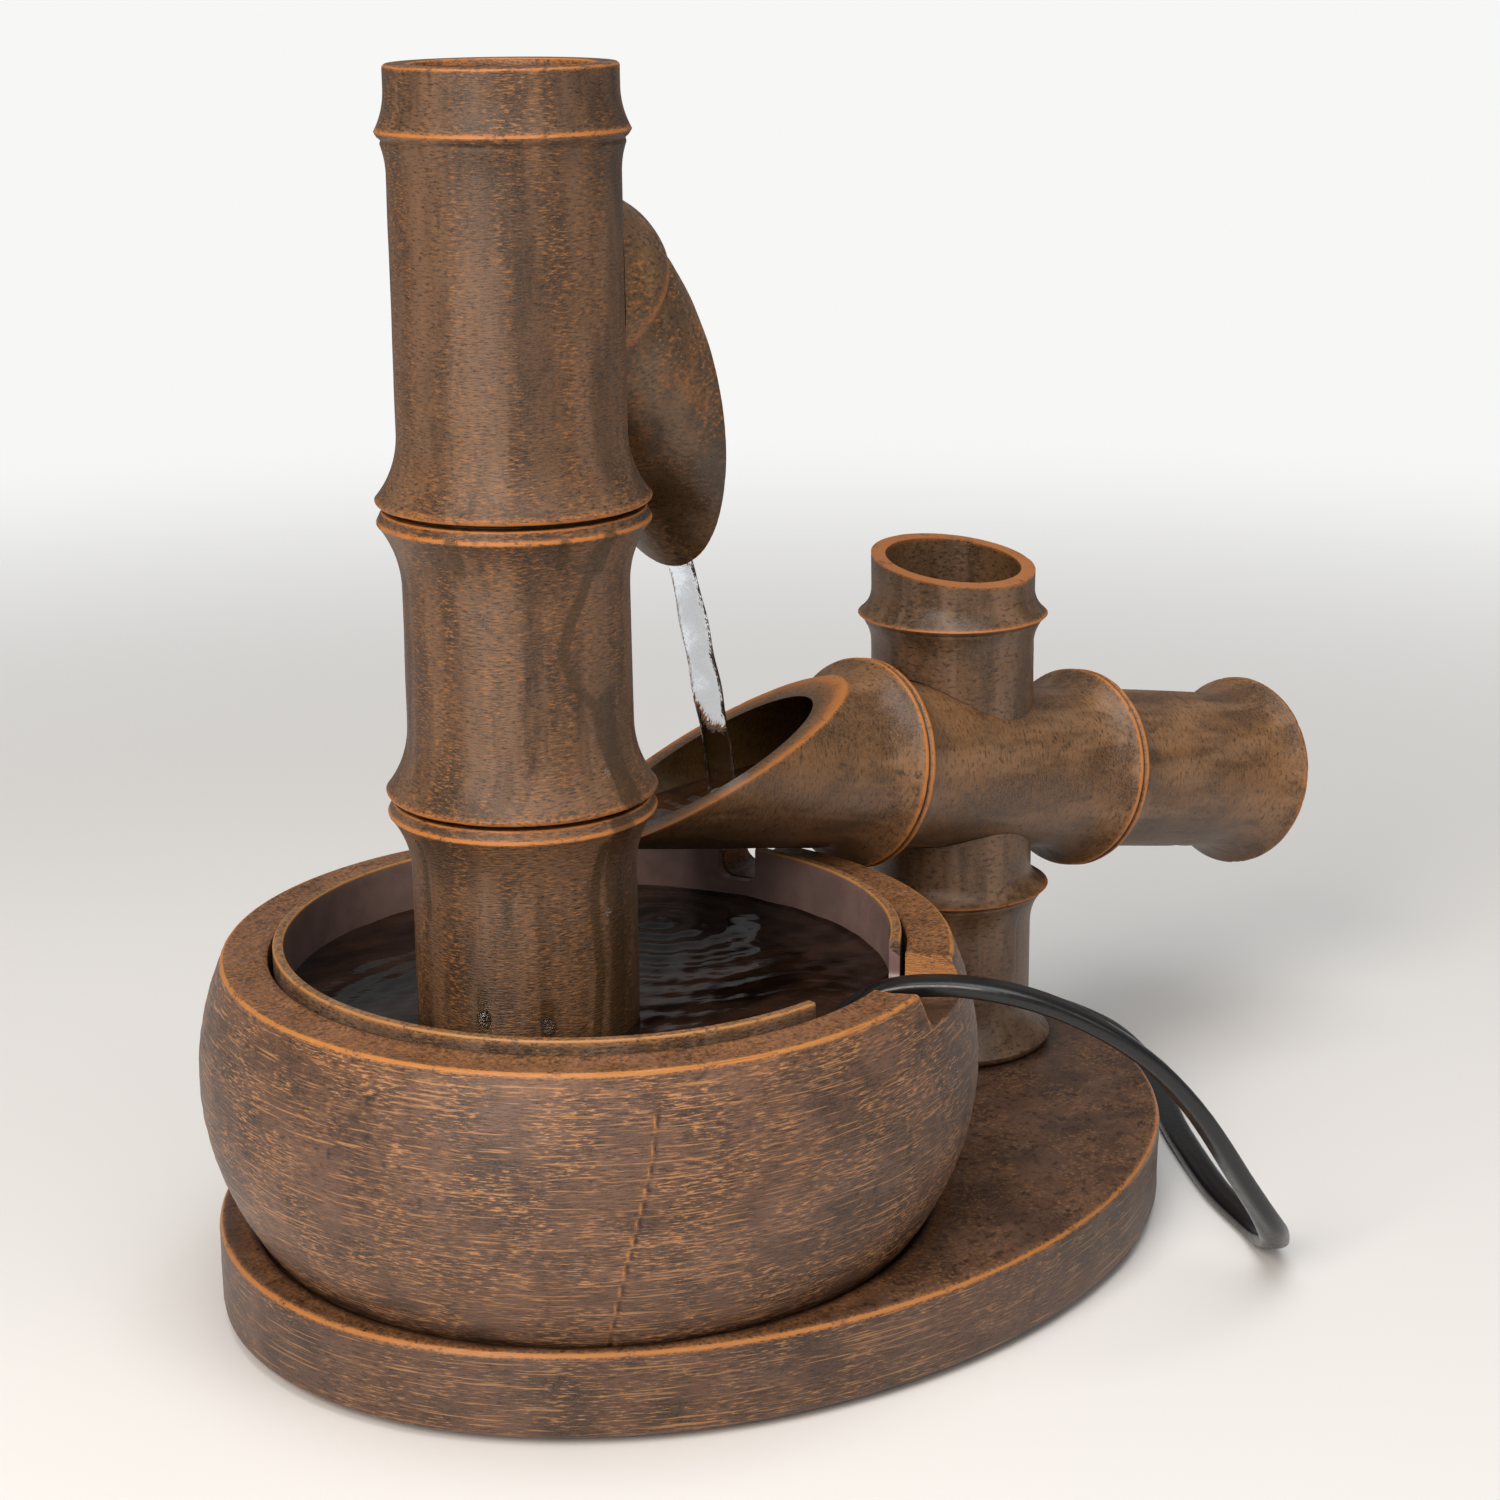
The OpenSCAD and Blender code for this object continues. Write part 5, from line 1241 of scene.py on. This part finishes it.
add_piece("cross_pipe_culm", pipe_shell(), pipe_bamboo, "post", "bamboo_resin", "cross_pipe",
          cutters=[block("trough_cut", (-150, -60, 0), (150, 60, 150), on_cut)],
          masks=(pipe_wear, pipe_wet, pipe_dirt_and_shade))


def saddle():
    """Cutter of the round seat in the post for the pipe, 0.1 mm wider than the pipe."""
    return rod("pipe_saddle", 20.1, -40, 40, upright_to_x, 160)


def post_wet(p):
    """Long damp streaks on the lower post."""
    return 0.35 * (lattice_noise(p, (4, 4, 30), 103) > 0.35) * (p[:, 2] < 58)


h = culm_heights(PLATE_TOP, LOWER_TOP, [PLATE_TOP, POST_LOW_NODE])
r = np.maximum(ring_edge(h, PLATE_TOP, POST_R, 25, 4.0, 10, 1),
               node_edge(h, POST_LOW_NODE, POST_R, 24, 4.0, 4.5, 10))
inside = [finely([[POST_R, LOWER_TOP], [0.0, LOWER_TOP]], 3.0)[1:], [[0.0, 39.5]],
          finely([[6.05, 39.5], [6.05, PLATE_TOP], [22.8, PLATE_TOP]], 2.0)]
culm_piece("post_lower_culm", h, r - 0.4 * bell(h - 59.9, 0.4), inside, POST, 101, post_bamboo, "post",
           "post_lower", 260, 0.8, cutters=[saddle()],
           masks=(near_rings(POST, (24.0, 61.2, 0.9)), post_wet, lambda p: 0.6 * bell(p[:, 2] - 20.6, 0.7)))


def on_post_cut(p):
    """A box above z = 0, turned to the post's slanting top: it falls towards the direction -92 degrees."""
    return turned_by(-92, base=POST)(spin(p, 1, POST_FALL) + [-POST_R, 0, POST_TOP])


def post_top_wear(p):
    """Brushing on the upper post's ring and on both edges of its slanting top."""
    x = spin(p - POST, 2, math.radians(92))[:, 0]
    above = p[:, 2] - (POST_TOP - (x + POST_R) * math.tan(POST_FALL))
    r = axis_distance(p, POST)
    rim = bell(above, 0.6) * np.maximum(bell(r - POST_R, 0.55), bell(r - 16.2, 0.4))
    return np.maximum.reduce([rim, near_rings(POST, (22.8, 128.7, 0.9))(p), 0.25 * (np.abs(above) < 0.3)])


def cup_dirt(p):
    """Stain in the upper post's cup."""
    return 0.35 * (axis_distance(p, POST) < 15.9) * (p[:, 2] > 117)


h = culm_heights(UPPER_FOOT, 143.2, [POST_HIGH_NODE, 143])
r = node_edge(h, POST_HIGH_NODE, POST_R, 22.9, 4.0, 6, 7) - 0.35 * bell(h - 127.2, 0.4)
inside = [finely([[POST_R, 150.0], [16.2, 150.0], [16.2, 118.8], [15.8, 118.5], [0.0, 118.5]], 1.2),
          [[0.0, UPPER_FOOT]], finely([[0.0, UPPER_FOOT], [POST_R, UPPER_FOOT]], 4.0)[1:-1]]
culm_piece("post_upper_culm", h, r, inside, POST, 111, post_bamboo, "post", "post_upper", 260, 0.8,
           cutters=[saddle(), block("post_top", (-50, -50, 0), (100, 50, 100), on_post_cut)],
           masks=(post_top_wear, None, cup_dirt))


# ---------------------------------------------------------------- water

TROUGH_LEVEL = 98.9


def pool_sheet():
    """Water in the bowl: a thin sheet with rings of waves that spread from where the stream's drips land and
    from the column, small noise, and an edge drawn up at the liner."""
    reach = 64.3
    rings = np.concatenate([[0.0], np.linspace(1.2, reach, 118)])
    a = circle_angles(360)
    x, y = rings[:, None] * np.cos(a), rings[:, None] * np.sin(a)
    z = np.full(x.shape, POOL_LEVEL)
    for cx, cy, high, wave, fade in ((38, 18, 0.24, 7.5, 36), (-22, -5.5, 0.10, 6.0, 60),
                                     (20, -46, 0.08, 5.0, 30)):
        d = np.hypot(x - cx, y - cy)
        z += high * np.sin(2 * math.pi * d / wave) * np.exp(-d / fade)
    p = np.stack([x, y, 0 * x], -1)
    z += 0.10 * lattice_noise(p, (9, 5, 5), 121) + 0.03 * lattice_noise(p, (3.5, 2.2, 5), 122)
    z += 0.5 * bell(reach - rings[:, None], 0.7)
    under = np.stack([x, y, np.full(x.shape, 67.8)], -1)[::-1]
    grid = np.concatenate([np.stack([x, y, z], -1), under])
    return grid.reshape(-1, 3), grid_faces(len(grid), len(a), True, True)


def stream_tube():
    """A ribbon of water, out of the scoop's bore over its lip and down to the trough. Its broad side faces the
    front, and it wobbles in width and thickness as it falls."""
    fall = np.array([[44.5, 172.6], [49.0, 167.4], [53.8, 162.4], [58.5, 154.6], [62.0, 145.2], [64.6, 136.3],
                     [67.2, 128.4], [69.3, 120.5], [72.0, 111.0], [74.0, 99.8], [74.3, 96.4]])
    line = through(fall, 12)
    t = np.linspace(0, 1, len(line))
    a = circle_angles(28)
    wide = np.interp(t, [0, 0.1, 0.3, 0.6, 0.9, 1], [4.6, 4.4, 3.1, 3.3, 3.2, 4.0])
    wide += 0.16 * np.sin(t * 31) * (t > 0.3)
    thin = np.interp(t, [0, 0.1, 0.3, 0.6, 1], [0.7, 0.8, 1.4, 1.7, 1.6]) + 0.12 * np.sin(t * 43 + 1)
    twist = np.radians(np.interp(t, [0, 0.25, 0.6, 1], [-78, -70, -48, -40]))
    u = wide[:, None] * np.sign(np.cos(a)) * np.abs(np.cos(a)) ** 0.9
    v = thin[:, None] * np.sin(a) * (1 - 0.25 * np.cos(a) ** 2)
    c, s = np.cos(twist)[:, None], np.sin(twist)[:, None]
    x = COLUMN[0] + line[:, :1] * math.cos(SPOUT_AZ) + u * c - v * s
    y = COLUMN[1] + line[:, :1] * math.sin(SPOUT_AZ) + u * s + v * c
    p = np.stack([x, y, line[:, 1:] + 0 * u], -1)
    p += 0.16 * lattice_noise(p, (2.6, 2.6, 7), 141)[..., None] * np.array([0.7, 0.7, 0])
    return p.reshape(-1, 3), tube_faces(len(line), len(a))


def trough_water():
    """Water standing in the trough under the stream, level where it runs over the tip: across the bore at each
    place along the pipe, from the tip to the closed bore, with waves that spread from the stream."""
    rows, cols = 100, 37
    xs = np.linspace(-103.6, -24.4, rows)[:, None]
    level = (TROUGH_LEVEL - PIPE_AT[2] + math.sin(FALL) * xs) / math.cos(FALL)
    half = np.sqrt(np.maximum(14.95 ** 2 - level ** 2, 0.05))
    y = half * np.linspace(-1, 1, cols)
    x = xs + 0 * y
    d = np.hypot(x + 70.6, y - 2.1)
    waves = 0.55 * np.sin(d * 1.15) * np.exp(-d / 12) + 1.1 * bell(d, 3.6)
    waves += 0.24 * lattice_noise(np.stack([x, y, 0 * x], -1), (7, 4, 4), 131)
    top = np.stack([x, y, level + waves * (1 - (y / half) ** 8)], -1)
    low = np.stack([x, y, -np.sqrt(14.96 ** 2 - y ** 2)], -1)
    n = rows * cols
    sheet = grid_faces(rows, cols, False)
    loop = np.concatenate([np.arange(cols - 1), np.arange(rows - 1) * cols + cols - 1,
                           np.arange(n - 1, n - cols, -1), np.arange(rows - 1, 0, -1) * cols])
    ahead = np.roll(loop, -1)
    wall = np.stack([loop, loop + n, ahead + n, ahead], -1)
    points = np.concatenate([top.reshape(-1, 3), low.reshape(-1, 3)])
    return on_pipe(points), np.concatenate([sheet, sheet[:, ::-1] + n, wall])


def drops(spots):
    """Hanging and lying drops: flattened balls with their middles that far from the column's axis, longer
    downwards. Spots are (angle, height, size, width, distance)."""
    u, a = np.linspace(0, math.pi, 13)[:, None], circle_angles(20)
    made = []
    for angle, z, tall, wide, r in spots:
        up = np.where(np.cos(u) > 0, tall * 0.8, tall) * np.cos(u) + 0 * a
        ball = np.stack([0.75 * wide * np.sin(u) * np.sin(a), wide * np.sin(u) * np.cos(a), up], -1)
        at = spin(ball + [r, 0, z], 2, math.radians(angle)) + COLUMN
        made.append((at.reshape(-1, 3), grid_faces(13, 20)))
    return merged(made)


ON_CULM, ON_RING = 22.95, 23.75
foot_drops = [(-154.1, 77.0, 2.2, 1.5, ON_CULM), (-121.6, 75.6, 2.0, 1.4, ON_CULM),
              (-85, 97.0, 1.2, 0.8, ON_CULM)]
middle_drops = [(-157.4, 169.8, 2.3, 1.6, ON_CULM), (-110.2, 169.9, 1.3, 1.0, ON_CULM),
                (-86, 126.0, 1.6, 0.9, ON_RING), (-104, 125.2, 1.5, 0.7, ON_RING)]
add_piece("pool_water_sheet", pool_sheet(), pool_water, "stand", "liner_plastic", angle=60)
add_piece("stream_water", stream_tube(), fall_water, "column_head", "ceramic", angle=60)
add_piece("trough_water_sheet", trough_water(), trough_still, "post", "ceramic", angle=60)
add_piece("water_beads_lower", drops(foot_drops), fall_water, "column_foot", "ceramic", angle=60)
add_piece("water_beads_middle", drops(middle_drops), fall_water, "column_mid", "ceramic", angle=60)


# ---------------------------------------------------------------- carried-over nodes

for material, nodes in (
        (peg_beech, ["post_peg"]), (hose_pvc, ["riser_hose"]),
        (steel, ["pump_core"]), (copper, ["pump_winding"]), (slider_pom, ["pump_flow_slider"]),
        (pump_abs, ["pump_housing", "pump_back_plate", "pump_cover", "pump_strainer"]),
        (soft_black, ["pump_seal_ring", "pump_bushes", "pump_suction_cups"]),
        (ferrite, ["pump_magnet"]), (impeller_pom, ["pump_impeller"]), (zirconia, ["pump_shaft"])):
    for node in nodes:
        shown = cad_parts[node]
        if not shown.material_slots:
            shown.data.materials.append(material)
        for held in shown.material_slots:
            held.material = material


# ---------------------------------------------------------------- studio

def make_floor():
    """A pale floor that fades out far from the fountain."""
    # Matt white wall paint on a board, with the faint unevenness of a roller.
    r = Recipe(bpy.data.materials.new("painted_floor"))
    cloud = r.noise((400, 400, 400), 2.0, 0.5)
    r.feed(Base_Color=r.blend(cloud, tone("#eeedeb"), tone("#f1f0ee")), Roughness=0.7)
    away = r.add("ShaderNodeVectorMath", {0: r.place()}, operation="LENGTH").outputs["Value"]
    clear = r.add("ShaderNodeBsdfTransparent").outputs[0]
    faded = r.add("ShaderNodeMixShader", {0: r.window(away, 0.32, 1.1), 1: r.shader.outputs[0], 2: clear})
    r.join(faded.outputs[0], r.output.inputs[0])
    far = 6000.0
    corners = [[-far, -far, 0], [far, -far, 0], [far, far, 0], [-far, far, 0]]
    finish_mesh("studio_floor", corners, [(0, 1, 2, 3)], r.owner, 38, open_sheet=True)


def make_world():
    """A pale world. What the camera sees of it, straight or through water, is plain white."""
    r = Recipe(bpy.data.worlds.new("studio_world"), "ShaderNodeMixShader", "ShaderNodeOutputWorld")
    path = r.add("ShaderNodeLightPath").outputs
    seen = r.maths(path["Is Camera Ray"], path["Is Transmission Ray"], "MAXIMUM")
    lit = r.add("ShaderNodeBackground", {"Color": tone("#f2f2f2"), "Strength": 0.24}).outputs[0]
    white = r.add("ShaderNodeBackground", {"Color": tone("#f7f7f6")}).outputs[0]
    for key, value in enumerate((seen, lit, white)):
        r.join(value, r.shader.inputs[key])
    bpy.context.scene.world = r.owner


def make_lamps():
    """Three soft boxes: a warm key on the left, a weak one in front, and a broad one overhead."""
    aim = Vector((0.03, 0.0, 0.12))
    for name, place, size, power, colour in (
            ("key_softbox", (-0.95, -0.30, 0.72), 0.55, 11.5, "#fff4ea"),
            ("side_softbox", (0.15, -1.10, 0.60), 0.50, 1.6, "#fff8f2"),
            ("top_softbox", (-0.10, -0.25, 1.25), 0.80, 8.5, "#ffffff")):
        data = bpy.data.lights.new(name, "AREA")
        data.shape = "RECTANGLE"
        data.size, data.size_y = size, size * 1.4
        data.energy = power
        data.color = tone(colour)[:3]
        lamp = bpy.data.objects.new(name, data)
        lamp.location = place
        lamp.rotation_euler = (aim - Vector(place)).to_track_quat("-Z", "Y").to_euler()
        bpy.context.scene.collection.objects.link(lamp)


make_floor()
make_world()
make_lamps()
bpy.context.scene.view_settings.view_transform = "Standard"
